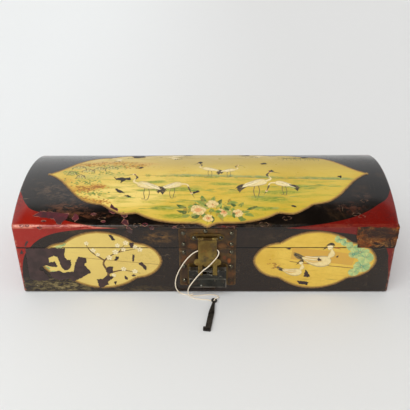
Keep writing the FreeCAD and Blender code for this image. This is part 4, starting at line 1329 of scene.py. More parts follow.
def lay(sheet, place, lift, thickness=film_thickness, keep_uv=False):
    """Moves a flat sheet onto the case. A corner's own height above the sheet adds to the lift."""
    mesh = sheet.data
    if not keep_uv:
        lay_out(mesh, "wrap", [vertex.co.xy for vertex in mesh.vertices])
    for vertex in mesh.vertices:
        vertex.co = place(vertex.co.x, vertex.co.y, lift + vertex.co.z)
    apply_modifier(sheet, "SOLIDIFY", thickness=thickness, offset=-1)
    smooth(sheet, 30)


# %% [markdown]
# ## The yellow ground
# The panels are painted on a warm yellow, paler where it is thick, mustard where it is thin, and brown
# at its rim. The landscape's soft parts belong to the ground: a band of far shore, streaks of grass and
# clouds of ochre. They are noises stretched along the panel and kept to their own places.

# %% Ground finishes
def make_ground(name, pale, warm, deep):
    """The yellow ground; returns the bench half done, so that a landscape can be added."""
    finish, bench, shader = new_finish(name)
    wrap = bench.add("ShaderNodeUVMap", uv_map="wrap").outputs[0]
    spots = bench.parts(wrap)
    broad = bench.noise(wrap, 11.0, 5.0, 0.6)
    brushed = bench.noise(bench.stretch(wrap, 1.0, 5.0, 1.0), 42.0, 5.0, 0.65)
    colour = bench.mix(bench.step(broad, 0.35, 0.65), pale, warm)
    colour = bench.wash(colour, deep, bench.step(brushed, 0.5, 0.75), 0.5)
    return finish, bench, shader, wrap, spots, colour


def close_ground(bench, shader, colour):
    """Old varnish over the paint: fine cracks, dirt and a soft shine."""
    place = bench.place()
    cracks = use_effect(bench, fine_cracks, Vector=place, Scale=170.0, Width=0.03)
    specks = use_effect(bench, dust_specks, Vector=place, Scale=170.0, Amount=0.05)
    scratches = use_effect(bench, hair_scratches, Vector=place, Scale=9.0, Amount=0.35)
    colour = bench.wash(colour, tone(120, 84, 34), cracks, 0.16)
    colour = bench.wash(colour, tone(112, 78, 36), specks, 0.6)
    colour = bench.mix(scratches, colour, tone(150, 112, 52))
    mottle = bench.noise(place, 48.0, 4.0)
    height = bench.minus(bench.times(mottle, 0.7), bench.times(cracks, 0.3))
    bench.surface(shader, colour, bench.remap(mottle, 0.0, 1.0, 0.2, 0.42), height, 0.18, 0.2 * mm)
    shader.inputs["IOR"].default_value = 1.36


print("the yellow ground can be made")

# %% [markdown]
# Distant shore, meadow and shrubs are washes without an edge. Strokes would be too sharp for them, so
# they are soft patches in the ground's own finish, broken up by stretched noise.

# %% The landscape's soft parts
shore_tilt = -0.045
# Bands of grass: height, half the band's width, left end and right end. Clouds: middle and reach.
grass_bands = [
    (-24, 5, -104, -58), (-43, 7, -104, 10), (-50, 6, 66, 176), (-36, 7, 118, 182), (-66, 8, 60, 146),
    (-84, 7, -92, -34), (-86, 6, 72, 112), (-100, 6, -70, -20), (-30, 5, 0, 60),
]
ochre_clouds = [
    (-219, -43, 22, 12), (-196, -40, 26, 12), (-174, -34, 18, 10), (-200, -66, 34, 9), (-214, 34, 34, 12),
    (-170, 46, 44, 12), (-136, 30, 30, 12), (-104, 40, 36, 12), (-228, -20, 18, 12),
]
leaf_clouds = [
    (-190, -8, 36, 12), (-206, 26, 30, 10), (-160, 24, 34, 10), (-150, -2, 34, 8), (-226, 6, 20, 9),
]


def make_landscape():
    finish, bench, shader, wrap, spots, colour = make_ground(
        "panel_landscape", tone(224, 196, 90), tone(213, 178, 64), tone(190, 150, 44))
    across, around = spots[0], spots[1]
    low = bench.step(around, -60 * mm, -112 * mm)
    sky = bench.step(around, 0.0, 50 * mm)
    right_half = bench.step(across, -20 * mm, 150 * mm)
    left_half = bench.times(bench.step(across, -20 * mm, -130 * mm), bench.step(across, -250 * mm, -190 * mm))
    mist = bench.patch(across, around, (-125, -54), (85, 34), 0.6)
    for share, shade, strength in ((low, (198, 168, 48), 0.6), (sky, (186, 160, 74), 0.85),
                                   (right_half, (190, 162, 44), 0.5), (left_half, (232, 202, 104), 0.4),
                                   (mist, (244, 216, 124), 0.6)):
        colour = bench.wash(colour, tone(*shade), share, strength)
    fine = bench.noise(bench.stretch(wrap, 1.0, 4.5, 1.0), 130.0, 5.0, 0.7)
    blades = bench.noise(bench.stretch(wrap, 5.0, 1.0, 1.0), 120.0, 3.0, 0.6)
    streak = bench.times(bench.step(fine, 0.36, 0.56), bench.step(blades, 0.24, 0.5))
    swathes = bench.noise(bench.stretch(wrap, 1.0, 7.0, 1.0), 21.0, 4.0, 0.6)
    meadow = bench.times(bench.step(around, -8 * mm, -20 * mm), bench.step(swathes, 0.46, 0.62))
    colour = bench.wash(colour, tone(186, 174, 62), meadow, 0.45)
    colour = bench.wash(colour, tone(132, 140, 44), bench.times(meadow, streak), 0.4)
    for height, half, start, end in grass_bands:
        reach = bench.patch(across, around, ((start + end) / 2, height), ((end - start) / 2, half), 0.3)
        colour = bench.wash(colour, tone(184, 178, 72), reach, 0.5)
        colour = bench.wash(colour, tone(122, 140, 44), streak, reach)
    dabs = bench.cells(wrap, 210.0)
    for clouds, light, dark in ((ochre_clouds, tone(206, 158, 62), tone(168, 112, 34)),
                                (leaf_clouds, tone(182, 178, 92), tone(116, 128, 66))):
        for u, v, wide, high in clouds:
            reach = bench.patch(across, around, (u, v), (wide, high), 0.2)
            colour = bench.wash(colour, light, reach, bench.step(fine, 0.35, 0.6))
            colour = bench.wash(colour, dark, reach, bench.step(dabs, 0.26, 0.12))
    level = bench.minus(around, bench.times(across, shore_tilt))
    uneven = bench.times(bench.minus(bench.noise(wrap, 55.0, 4.0), 0.5), 7 * mm)
    level = bench.plus(level, 8 * mm)
    far_top = bench.step(bench.plus(level, uneven), 9 * mm, 4 * mm)
    far_bank = bench.times(bench.step(level, 0.0, 0.8 * mm), far_top)
    middle_stretch = bench.patch(across, around, (30, -6), (110, 60), 0.6)
    right_stretch = bench.patch(across, around, (196, -14), (58, 60), 0.5)
    far_bank = bench.times(far_bank, bench.calc("MAXIMUM", middle_stretch, right_stretch))
    colour = bench.wash(colour, tone(132, 152, 96), far_bank, bench.step(fine, 0.3, 0.6))
    shore = bench.times(bench.step(level, -1.0 * mm, -0.3 * mm), bench.step(level, 0.7 * mm, 0.0))
    shore = bench.times(shore, bench.step(across, -112 * mm, -96 * mm))
    colour = bench.wash(colour, tone(150, 116, 58), shore, 0.75)
    close_ground(bench, shader, colour)
    return finish


def make_plain_ground():
    finish, bench, shader, wrap, spots, colour = make_ground(
        "medallion_ground", tone(229, 193, 84), tone(214, 174, 66), tone(190, 144, 46))
    left_one = bench.step(spots[0], 0.0, -50 * mm)
    colour = bench.wash(colour, tone(226, 207, 132), left_one, 0.5)
    rim = bench.calc("ABSOLUTE", bench.minus(spots[1], lid_rim))
    rim = bench.plus(rim, bench.times(bench.noise(wrap, 140.0, 4.0), 0.9 * mm))
    colour = bench.wash(colour, tone(52, 36, 18), bench.step(rim, 1.8 * mm, 0.9 * mm), 0.9)
    close_ground(bench, shader, colour)
    return finish


print("bands of grass:", len(grass_bands), "clouds:", len(ochre_clouds) + len(leaf_clouds))

# %% [markdown]
# The films are laid last: one on the dome, and two medallions that the joint cuts, so each of them is
# two films on two bodies.

# %% Films of paint
landscape = make_landscape()
medallion_ground = make_plain_ground()

panel_film = flat_sheet("painted_panel", ring(panel))
strips(panel_film)
lay(panel_film, lid_point, film_lift)
hand_over(panel_film, "lid", "lacquered_hide", landscape)
for side, centre in (("left", left_medallion), ("right", right_medallion)):
    flat = flat_sheet("flat", ring(panel_runs(medallion_quarter, centre)))
    for body, above, below in halves:
        film = part_of(flat, f"{side}_medallion_{body}", above, below)
        lay(film, front_point, film_lift)
        hand_over(film, body, "lacquered_hide", medallion_ground)
    bpy.data.objects.remove(flat)
print("panel faces:", len(panel_film.data.polygons))

# %% [markdown]
# ## Brushwork
# A brush stroke is a narrow strip along a smooth line, wide or thin as the brush was pressed. Every
# stroke keeps its own colour as an attribute, so one finish serves all of them, and strokes laid later
# stand a hair higher than those beneath.

# %% The brush
pressure = {
    "line": lambda t: 1.0,
    "taper": lambda t: 1.0 - 0.85 * t,
    "leaf": lambda t: max(0.02, math.sin(math.pi * t)) ** 0.8,
    "petal": lambda t: max(0.03, math.sin(math.pi * t ** 1.5)) ** 0.55,
    "drop": lambda t: max(0.03, math.sin(math.pi * t ** 0.62)) ** 0.75,
    "swell": lambda t: 0.35 + 0.65 * math.sin(math.pi * min(1.0, t * 1.1)) ** 2,
}


class Painting:
    """Collects brush strokes on the flat sheet, in millimetres, and makes one mesh of them."""

    levels, hair = 41, 0.004

    def __init__(self, within=None):
        self.corners, self.faces, self.spots, self.colours, self.count = [], [], [], [], 0
        self.within = within

    def stroke(self, points, width, shape, colour, rim=0.0, sides=2):
        if self.within and not all(inside(self.within, *point, 2.5) for point in points):
            return
        line = through([tuple(point) for point in points], 5 if len(points) > 2 else 8)
        first = len(self.corners)
        height = (self.count % self.levels) * self.hair
        for i, (spot, ahead) in enumerate(zip(line, headings(line))):
            aside = Vector((-ahead.y, ahead.x))
            t = i / (len(line) - 1)
            half = width / 2 * pressure[shape](t)
            for k in range(sides + 1):
                s = 2 * k / sides - 1
                at = spot + aside * half * s
                self.corners.append((at.x * mm, at.y * mm, height * mm))
                self.spots.append((t, s))
                self.colours.append((*colour[:3], rim))
        for i in range(len(line) - 1):
            for k in range(sides):
                a = first + i * (sides + 1) + k
                b = a + sides + 1
                self.faces.append((a, b, b + 1, a + 1))
        self.count += 1

    def finish(self, name):
        mesh = bpy.data.meshes.new(name)
        mesh.from_pydata(self.corners, [], self.faces)
        tint = mesh.color_attributes.new(name="tint", type="FLOAT_COLOR", domain="POINT")
        for item, colour in zip(tint.data, self.colours):
            item.color = colour
        lay_out(mesh, "stroke", self.spots)
        return put_in_scene(bpy.data.objects.new(name, mesh))


print("brush pressures:", ", ".join(pressure))

# %% [markdown]
# Paint from a brush is thin in places and has a darker rim where it dried. The line round each panel
# is old gold, brown at its outer edge, and follows the same outline a little further in.

# %% Brush paint and gold lines
def make_brush_paint():
    finish, bench, shader = new_finish("brush_paint")
    tint = bench.add("ShaderNodeAttribute", attribute_name="tint").outputs
    place = bench.place()
    stroke = bench.parts(bench.add("ShaderNodeUVMap", uv_map="stroke").outputs[0])
    wash = bench.noise(place, 210.0, 4.0, 0.65)
    colour = bench.wash(tint["Color"], tone(196, 160, 86), bench.step(wash, 0.42, 0.75), 0.45)
    side = bench.step(bench.calc("ABSOLUTE", stroke[1]), 0.72, 0.92)
    ends = bench.step(bench.calc("ABSOLUTE", bench.minus(stroke[0], 0.5)), 0.46, 0.5)
    rim = bench.times(bench.calc("MAXIMUM", side, ends), tint["Alpha"])
    colour = bench.mix(rim, colour, tone(92, 62, 34))
    bench.surface(shader, colour, bench.remap(wash, 0.0, 1.0, 0.4, 0.65), wash, 0.2, 0.2 * mm)
    return finish


brush_paint = make_brush_paint()


def lay_strokes(piece, place, lift, body):
    lay(piece, place, lift, stroke_thickness, keep_uv=True)
    hand_over(piece, body, "lacquered_hide", brush_paint)


def gild(name, runs, place, body, above=None, below=None):
    """The gold line round a panel: a soft golden stroke, then a brown one between it and the edge."""
    work = Painting()
    for run in runs:
        line = through(run)
        for inset, width, colour in ((2.6, 2.6, tone(176, 136, 58)), (0.7, 2.2, tone(104, 72, 30))):
            moved = [spot + Vector((-ahead.y, ahead.x)) * inset for spot, ahead in zip(line, headings(line))]
            last = [moved[-1]] if len(moved) % 2 == 0 else []
            work.stroke(moved[::2] + last, width, "line", colour)
    flat = work.finish(name + "_flat")
    piece = part_of(flat, name, above, below)
    bpy.data.objects.remove(flat)
    lay_strokes(piece, place, gold_lift, body)


gild("panel_gold_line", panel, lid_point, "lid")
for side, centre in (("left", left_medallion), ("right", right_medallion)):
    runs = panel_runs(medallion_quarter, centre)
    for body, above, below in halves:
        gild(f"{side}_gold_line_{body}", runs, front_point, body, above, below)
print("gold lines:", len([o for o in bpy.data.objects if "gold_line" in o.name]))

# %% [markdown]
# ## Motifs
# Flowers, leaves, cranes, rocks and grass are groups of strokes about their own middle, so each is
# written once and then placed, turned, mirrored and scaled. The seeded random numbers keep every
# picture the same from run to run.

# %% Flowers and leaves
cream, pale_cream = tone(236, 214, 152), tone(243, 226, 176)
ink, soft_ink = tone(38, 33, 26), tone(96, 84, 56)
greens = [tone(62, 92, 36), tone(96, 128, 48), tone(134, 150, 62), tone(168, 176, 84), tone(84, 104, 30)]
ochres = [tone(196, 138, 44), tone(176, 116, 36), tone(214, 164, 66), tone(150, 98, 34)]
mints = [tone(178, 200, 130), tone(152, 184, 122), tone(192, 204, 132)]


def placed(points, centre, scale=1.0, turn=0.0, flip=1):
    c, s = math.cos(math.radians(turn)), math.sin(math.radians(turn))
    return [(centre[0] + scale * (x * flip * c - y * s), centre[1] + scale * (x * flip * s + y * c))
            for x, y in points]


def halfway(a, b):
    return tuple((Vector(a) + Vector(b)) / 2)


def pen(work, centre, scale=1.0, turn=0.0, flip=1):
    """What draws a motif's strokes about the motif's own middle."""
    def draw(points, width, shape, colour, rim=0.0):
        work.stroke(placed(points, centre, scale, turn, flip), width * scale, shape, colour, rim)
    return draw


def leaf(work, at, angle, length, width, colour):
    bend = random.uniform(-0.18, 0.18) * length
    line = placed([(0, 0), (length * 0.5, bend), (length, 0)], at, turn=angle)
    work.stroke(line, width, "leaf", colour, rim=0.35)
    work.stroke([*line[:2], halfway(line[1], line[2])], 0.5, "line", tone(70, 84, 34))


def blossom(work, at, size, outer, inner, heart):
    """A full flower seen half from above: outer petals, smaller inner ones and a dotted heart."""
    for layer, (share, colour) in enumerate(((1.0, outer), (0.72, outer), (0.46, inner))):
        petals = 8 - layer
        for k in range(petals):
            angle = 360 * (k + 0.5 * layer) / petals + random.uniform(-9, 9)
            reach = size * share * random.uniform(0.88, 1.08)
            tip = placed([(reach * 0.1, 0), (reach * 0.55, random.uniform(-1, 1)), (reach, 0)], (0, 0), turn=angle)
            petal = [(at[0] + x, at[1] + y * 0.78) for x, y in tip]
            work.stroke(petal, size * share * 0.72, "petal", colour, rim=0.45)
    for k in range(7):
        dot = (at[0] + random.uniform(-0.13, 0.13) * size, at[1] + random.uniform(-0.1, 0.1) * size)
        work.stroke([dot, (dot[0] + 1.2, dot[1] + 0.8)], 1.1, "leaf", heart)


def small_blossom(work, at, size, colour):
    for k in range(5):
        work.stroke(placed([(0.3, 0), (size, 0)], at, turn=72 * k + 15), size * 0.85, "petal", colour, rim=0.5)
    work.stroke([(at[0] - 0.5, at[1]), (at[0] + 0.5, at[1])], 1.0, "leaf", tone(150, 84, 40))


print("greens:", len(greens), "ochres:", len(ochres), "mints:", len(mints))

# %% [markdown]
# Larger motifs are built up as a painter would: what lies behind first, then the body, then feathers,
# head and bill over it. Their points are millimetres about the feet or the body's middle.

# %% Cranes and rocks
def crane(work, feet, scale, flip=1, bent=False):
    """A standing crane; bent, it reaches down for food."""
    draw = pen(work, feet, scale, flip=flip)
    draw([(-3, 26), (-5, 13), (-3, 0), (2, -1)], 1.1, "line", soft_ink)
    draw([(3, 26), (4, 14), (2, 2), (7, 1)], 1.1, "line", soft_ink)
    for k in range(4):
        draw([(-11, 31 - k), (-24, 27 - 3 * k), (-33 + 2 * k, 19 - 3 * k)], 4.2, "leaf", ink)
    draw([(17, 38), (6, 36), (-8, 30), (-21, 27)], 17, "drop", cream, 0.5)
    for k in range(5):
        draw([(10 - 2 * k, 40 - k), (-4 - 2 * k, 36 - 2 * k), (-19 - k, 30 - 2 * k)], 5, "leaf", pale_cream, 0.55)
    if bent:
        neck = [(15, 38), (27, 36), (31, 24), (35, 12)]
        head = [(34, 14), (38, 7)]
        bill = [(37, 9), (42, -2)]
    else:
        neck = [(14, 38), (23, 45), (18, 57), (24, 66)]
        head = [(21, 66), (29, 66)]
        bill = [(27, 66), (40, 61)]
    draw(neck, 5.4, "taper", cream, 0.4)
    draw([halfway(neck[1], neck[2]), neck[2], neck[3]], 3.6, "swell", ink)
    draw(head, 5.0, "drop", cream, 0.4)
    draw([head[0], halfway(head[0], head[1])], 2.6, "leaf", tone(172, 62, 40))
    draw(bill, 1.8, "taper", tone(104, 96, 52))


def flying_crane(work, at, scale, turn, flip=1):
    draw = pen(work, at, scale, turn, flip)
    draw([(-8, -1), (-24, -3), (-40, -2)], 1.3, "line", soft_ink)
    for k in range(6):
        draw([(4, 2), (-4 - 3 * k, 14 - k), (-10 - 5 * k, 30 - 3 * k)], 5.5, "leaf", pale_cream, 0.55)
        draw([(-7 - 4.4 * k, 24 - 2.6 * k), (-10 - 5 * k, 31 - 3 * k)], 3.4, "leaf", ink)
    for k in range(4):
        draw([(6, -2), (2 - 3 * k, -12), (-2 - 5 * k, -22 + k)], 4.6, "leaf", pale_cream, 0.55)
        draw([(-1 - 4.6 * k, -18 + k), (-3 - 5 * k, -24 + k)], 3, "leaf", ink)
    draw([(14, 2), (0, 0), (-14, -2)], 10, "drop", cream, 0.45)
    draw([(10, 2), (22, 5), (34, 3)], 4, "taper", cream, 0.4)
    draw([(22, 5), (30, 4)], 2.4, "leaf", ink)
    draw([(33, 3), (42, 1)], 1.5, "taper", tone(104, 96, 52))


boulder = [(-0.5, 0), (-0.46, 0.35), (-0.3, 0.62), (-0.22, 0.9), (-0.02, 1.0), (0.14, 0.78), (0.3, 0.74),
           (0.44, 0.4), (0.5, 0.0)]


def rock(work, at, width, height):
    """A boulder in outline, with a pale wash, a few creases and grass at its foot."""
    x, y = at
    dark, line = tone(84, 70, 46), 1.3
    edge = [(x + width * across + random.uniform(-0.8, 0.8), y + height * up) for across, up in boulder]
    belly = [(x - width * 0.4, y + height * 0.25), (x, y + height * 0.45), (x + width * 0.4, y + height * 0.25)]
    work.stroke(belly, height * 0.8, "swell", tone(206, 190, 110))
    work.stroke(edge, line, "line", dark)
    for k in range(3):
        at_x = x + width * (-0.24 + 0.22 * k)
        crease = [(at_x, y + height * 0.7), (at_x + 2, y + height * 0.42), (at_x - 1, y + height * 0.12)]
        work.stroke(crease, line, "taper", dark)
    for _ in range(5):
        at_x = x + width * random.uniform(-0.5, 0.5)
        blade = [(at_x, y - 1), (at_x + random.uniform(-3, 3), y + random.uniform(3, 6))]
        work.stroke(blade, 0.9, "taper", greens[2])


def tuft(work, at, spread, height, colour):
    """Three blades of grass."""
    for across in (-0.5, 0.0, 0.5):
        x = at[0] + spread * across
        lean = across * spread * 0.7 + random.uniform(-1, 1)
        work.stroke([(x, at[1]), (x + lean, at[1] + height * random.uniform(0.7, 1.1))], 0.9, "taper", colour)


def dabs(work, at, spread, count, size, colours):
    """A cloud of small leaves."""
    for _ in range(count):
        spot = (random.gauss(at[0], spread[0] / 2), random.gauss(at[1], spread[1] / 2))
        turn = random.uniform(-40, 40)
        line = placed([(0, 0), (size * random.uniform(0.7, 1.3), 0)], spot, turn=turn)
        work.stroke(line, size * 0.5, "leaf", random.choice(colours), rim=0.25)


print("corners of a boulder:", len(boulder))

# %% [markdown]
# ## The landscape on the lid
# Three pairs of cranes stand in a flat marsh and three more fly over it, with rocks and shrubs at the
# left, a grove on the far shore and a spray of peonies at the near edge.

# %% Strokes on the large panel
random.seed(411)
view = Painting([tuple(spot) for spot in ring(panel)])
for spot in ((-236, -20), (-222, -4), (-206, -14), (-196, 6), (-178, 12), (-158, 18), (-214, 18)):
    rock(view, spot, random.uniform(16, 24), random.uniform(10, 16))
for colours, count, size, clouds in (
        (ochres, 70, 4.0, (((-214, -45), (26, 7)), ((-192, -40), (20, 8)), ((-176, -36), (14, 6)),
                           ((-202, -66), (28, 6)), ((-170, -72), (22, 5)), ((-196, 36), (30, 8)),
                           ((-150, 44), (34, 9)), ((-120, 30), (22, 8)))),
        (greens[1:4], 46, 3.8, (((-196, -24), (34, 7)), ((-168, 4), (34, 6)), ((-222, 6), (16, 8)),
                                ((-150, 28), (30, 7)), ((-186, -52), (30, 5))))):
    for spot, spread in clouds:
        dabs(view, spot, spread, count, size, colours)

for start, end, up in ((-98, 52, -5), (60, 150, -9), (160, 236, -12)):
    for _ in range(int((end - start) / 2.6)):
        x = random.uniform(start, end)
        tuft(view, (x, up + random.uniform(-3, 1) + shore_tilt * (x - start)), 3.2, random.uniform(3, 7), greens[2])
for spot, reach in (((-84, -44), 30), ((-88, -24), 22), ((-64, -84), 34), ((146, -38), 34), ((108, -62), 36),
                    ((92, -84), 22), ((20, -46), 40), ((-20, -70), 30), ((196, -34), 22), ((-130, -62), 22)):
    for _ in range(15):
        x, y = spot[0] + random.uniform(-reach, reach), spot[1] + random.gauss(0, 1.7)
        view.stroke([(x - 7, y), (x + 7, y + random.uniform(-0.8, 0.8))], 1.1, "leaf", random.choice(greens[1:4]))

grove = [tone(132, 128, 74), tone(158, 148, 84), tone(104, 104, 60)]
for k in range(15):
    x, y = 136 + 6 * k + random.uniform(-2, 2), 60 - 0.5 * k + random.uniform(-2, 2)
    trunk = [(x, y), (x + random.uniform(-2, 2), y + 7), (x + random.uniform(-2, 2), y + 13)]
    view.stroke(trunk, 1.0, "taper", soft_ink)
    dabs(view, (x, y + 13), (8, 5), 10, 3.4, grove)
for x, y, top in ((-150, 62, 12), (-70, 70, 9), (30, 66, 8), (120, 60, 10)):
    hill = [(x, y), (x + 20, y + top), (x + 44, y + top * 0.4), (x + 70, y)]
    view.stroke(hill, 1.2, "swell", tone(168, 150, 96))


print("strokes of land:", view.count)

# %% [markdown]
# Birds and flowers come over the land. The spray is a ring of leaves about its middle, loose leaves at
# its sides, a thick bed of small ones, and five peonies on top.

# %% Birds and flowers on the large panel
crane(view, (-94, -66), 1.0, flip=-1)
crane(view, (-52, -62), 0.86, bent=True)
crane(view, (84, -62), 1.05)
crane(view, (128, -56), 0.8, flip=-1, bent=True)
crane(view, (8, -8), 0.74, flip=-1)
crane(view, (40, -10), 0.66)
flying_crane(view, (-58, 82), 0.8, turn=12, flip=-1)
flying_crane(view, (96, 92), 0.7, turn=-8)
flying_crane(view, (-150, 66), 0.55, turn=8)

for angle in range(0, 360, 18):
    spot = placed([(random.uniform(8, 30), 0)], (12, -88), turn=angle)[0]
    leaf(view, (spot[0], -88 + (spot[1] + 88) * 0.62), angle + random.uniform(-25, 25), random.uniform(11, 18),
         random.uniform(5, 8), random.choice(greens[:4]))
for spot, angle in (((-26, -90), 176), ((-22, -98), 196), ((-28, -84), 158), ((58, -92), 6), ((62, -98), -12),
                    ((52, -102), -20), ((66, -88), 22), ((-8, -106), 200)):
    leaf(view, spot, angle, random.uniform(13, 19), random.uniform(5, 7), random.choice(greens[:3]))
dense = greens[:4] + [tone(178, 148, 44), tone(148, 150, 50)]
for _ in range(46):
    x, y = random.uniform(-34, 70), random.uniform(-108, -68)
    if (x - 16) ** 2 / 52 ** 2 + (y + 89) ** 2 / 19 ** 2 < 1:
        leaf(view, (x, y), random.uniform(0, 360), random.uniform(8, 13), random.uniform(4, 6), random.choice(dense))
for spot, size in (((-10, -88), 13), ((30, -92), 11), ((12, -76), 10), ((52, -94), 9), ((6, -104), 9)):
    blossom(view, spot, size, tone(232, 204, 138), tone(222, 160, 100), tone(170, 80, 44))
dabs(view, (34, -78), (30, 9), 34, 3.4, [tone(206, 170, 54), tone(158, 158, 62), tone(110, 128, 48)])
dabs(view, (-14, -74), (24, 6), 22, 3.0, [tone(190, 126, 44), tone(158, 98, 36), tone(206, 170, 54)])
flat = view.finish("landscape_strokes")
lay_strokes(flat, lid_point, stroke_lift, "lid")
print("landscape strokes:", view.count, "faces:", len(flat.data.polygons))

# %% [markdown]
# ## The medallions on the front
# At the left an old plum branch; at the right two ducks by a low screen, under mint-green lotus leaves.
# Both cross the joint of lid and base, so each picture is cut there and each half rides its own body.

# %% Strokes on the left medallion
def plum_picture():
    at = left_medallion
    work = Painting([tuple(spot) for spot in ring(panel_runs(medallion_quarter, at))])
    for line in ([(-28, 52), (-30, 26), (-30, 6)], [(-30, 6), (20, 0), (92, -8)], [(-62, 44), (-34, 22)]):
        work.stroke(placed(line, at), 0.9, "line", tone(156, 120, 58))
    for line, width in (([(4, -50), (10, -26), (4, -4), (24, 14), (60, 24)], 5.2),
                        ([(10, -26), (34, -20), (62, -26)], 3.2),
                        ([(6, 0), (-14, 18), (-22, 36)], 3.0), ([(30, 16), (42, 34)], 2.0)):
        work.stroke(placed(line, at), width, "taper", tone(92, 62, 36), rim=0.4)
    for x, y in ((24, 17), (40, 22), (56, 27), (44, 35), (34, -17), (52, -22), (-12, 20), (-20, 34), (14, 6),
                 (18, -30), (64, 22), (28, 30), (-2, 12)):
        spot = (at[0] + x + random.uniform(-2, 2), at[1] + y)
        small_blossom(work, spot, random.uniform(3.8, 5.2), pale_cream)
    for x, y, turn in ((-64, 28, 30), (-58, 30, 50), (-70, 27, 10), (-50, 34, 60), (-92, -12, -30), (-90, -18, -50),
                       (-84, -22, -20), (-93, -6, 10), (-80, -30, -60), (-76, -34, -20)):
        leaf(work, (at[0] + x, at[1] + y), turn, random.uniform(10, 15), random.uniform(5, 8), random.choice(mints))
    return work


print("the plum branch can be painted")

# %% [markdown]
# The ducks are the same strokes at two sizes. A lotus leaf is eleven broad petals, each with a vein,
# pressed flat because the leaf is seen from its side.

# %% Strokes on the right medallion
def duck(work, at, scale):
    draw = pen(work, at, scale)
    for k in range(3):
        draw([(-16, 2 + 2 * k), (-26, 6 + 2.6 * k), (-34, 12 + 2 * k)], 3.4, "leaf", ink if k == 1 else soft_ink)
    draw([(19, 3), (6, 0), (-8, 2), (-22, 7)], 20, "drop", cream, 0.5)
    for k in range(4):
        feather = [(8, 6 - 1.6 * k), (-6, 6 - 2 * k), (-18, 9 - 1.6 * k)]
        draw(feather, 4.4, "leaf", (pale_cream, tone(226, 188, 110))[k % 2], 0.6)
    draw([(14, 6), (19, 13), (18, 22)], 9.5, "swell", cream, 0.4)
    draw([(12, 24), (20, 25)], 9.5, "drop", pale_cream, 0.5)
    draw([(10, 27), (17, 30), (22, 27)], 4.6, "leaf", ink)
    draw([(11, 25), (6, 20)], 3.4, "taper", ink)
    draw([(22, 24), (31, 21)], 3.2, "taper", tone(178, 112, 44))
    draw([(19.5, 25.2), (20.7, 25.4)], 1.3, "leaf", ink)


def lotus_leaf(work, at, size, lean):
    """A round leaf seen at a slant: broad petals from its middle, and a teal vein on each."""
    petals, slant = 11, 0.86
    for ahead, shares, width, shape in ((0.0, (0.05, 0.6, 1.0), size * 0.66, "petal"),
                                        (0.4, (0.1, 0.5, 0.86), 0.9, "taper")):
        for k in range(petals):
            angle = math.radians(360 * (k + ahead) / petals + lean)
            tip = [(at[0] + size * share * math.cos(angle), at[1] + slant * size * share * math.sin(angle))
                   for share in shares]
            colour, rim = (mints[k % 3], 0.15) if shape == "petal" else (tone(66, 138, 118), 0.0)
            work.stroke(tip, width, shape, colour, rim)


def duck_picture():
    at = right_medallion
    work = Painting([tuple(spot) for spot in ring(panel_runs(medallion_quarter, at))])
    work.stroke(placed([(-38, 14), (14, 8), (62, 1)], at), 23, "line", tone(210, 162, 62), sides=4)
    for line in ([(-44, 45), (-42, -2)], [(-42, -2), (-84, -26)], [(-40, -2), (0, -8), (66, -16)]):
        work.stroke(placed(line, at), 1.3, "line", tone(134, 96, 44))
    for x, y, size, lean in ((36, 42, 9, 5), (46, 36, 9, 20), (58, 28, 11, 0), (70, 16, 15, 12), (80, 5, 13, 25),
                             (76, -12, 14, 8), (64, -24, 9, 30), (60, 12, 8, 40)):
        lotus_leaf(work, (at[0] + x, at[1] + y), size, lean)
    duck(work, (at[0] + 4, at[1] - 2), 1.15)
    duck(work, (at[0] - 34, at[1] - 24), 0.78)
    for x in (-60, -20, 20, 44):
        work.stroke([(at[0] + x, at[1] - 38), (at[0] + x + 18, at[1] - 39)], 0.9, "swell", tone(158, 134, 60))
    dabs(work, (at[0] - 66, at[1] - 10), (10, 8), 14, 4.0, ochres)
    return work


print("both pictures can be painted")

# %% [markdown]
# Each picture is painted whole, then cut at the joint, so that the lid takes its own half with it when
# it opens.

# %% Laying the medallions' pictures
for side, picture in (("left", plum_picture()), ("right", duck_picture())):
    flat = picture.finish("flat")
    for body, above, below in halves:
        lay_strokes(part_of(flat, f"{side}_picture_{body}", above, below), front_point, stroke_lift, body)
    bpy.data.objects.remove(flat)
print("medallion pictures:", len([o for o in bpy.data.objects if "_picture_" in o.name]))

# %% [markdown]
# ## Paint that is gone
# Where the paint flaked off, the dark primer shows, with a torn pale rim. Each loss is an outline whose
# sides are broken into short uneven steps, laid as a very thin sheet, and its rim is a dry stroke.

# %% Primer and chips
def make_primer():
    finish, bench, shader = new_finish("bare_primer")
    place = bench.place()
    cloud = bench.noise(place, 60.0, 5.0, 0.65)
    cloudy = bench.step(cloud, 0.4, 0.62)
    high = bench.step(bench.parts(place)[2], 128 * mm, 134 * mm)
    brown = bench.mix(cloudy, tone(72, 48, 46), tone(54, 38, 36))
    red = bench.mix(cloudy, tone(88, 12, 26), tone(56, 12, 18))
    colour = bench.mix(high, brown, red)
    on_yellow = bench.add("ShaderNodeAttribute", attribute_name="dark").outputs["Fac"]
    colour = bench.mix(on_yellow, colour, tone(44, 36, 30))
    bench.surface(shader, colour, bench.remap(cloud, 0.0, 1.0, 0.5, 0.8), cloud, 0.4, 0.3 * mm)
    return finish


primer = make_primer()


def broken(outline, step=2.6, shake=0.7):
    """The outline with its sides broken into short uneven steps, running left about its inside."""
    area = sum(a[0] * b[1] - b[0] * a[1] for a, b in zip(outline, outline[1:] + outline[:1]))
    outline = outline if area > 0 else outline[::-1]
    spots = []
    for a, b in zip(outline, outline[1:] + outline[:1]):
        a, b = Vector(a), Vector(b)
        count = max(1, round((b - a).length / step))
        aside = Vector((a.y - b.y, b.x - a.x)).normalized()
        for k in range(count):
            spots.append(tuple(a + (b - a) * k / count + aside * random.uniform(-shake, shake)))
    return spots


def oval(x, y, wide, high, angles):
    """A rough small outline about a place, with a corner at each angle."""
    return [(x + wide * math.cos(a), y + high * math.sin(a)) for a in angles]


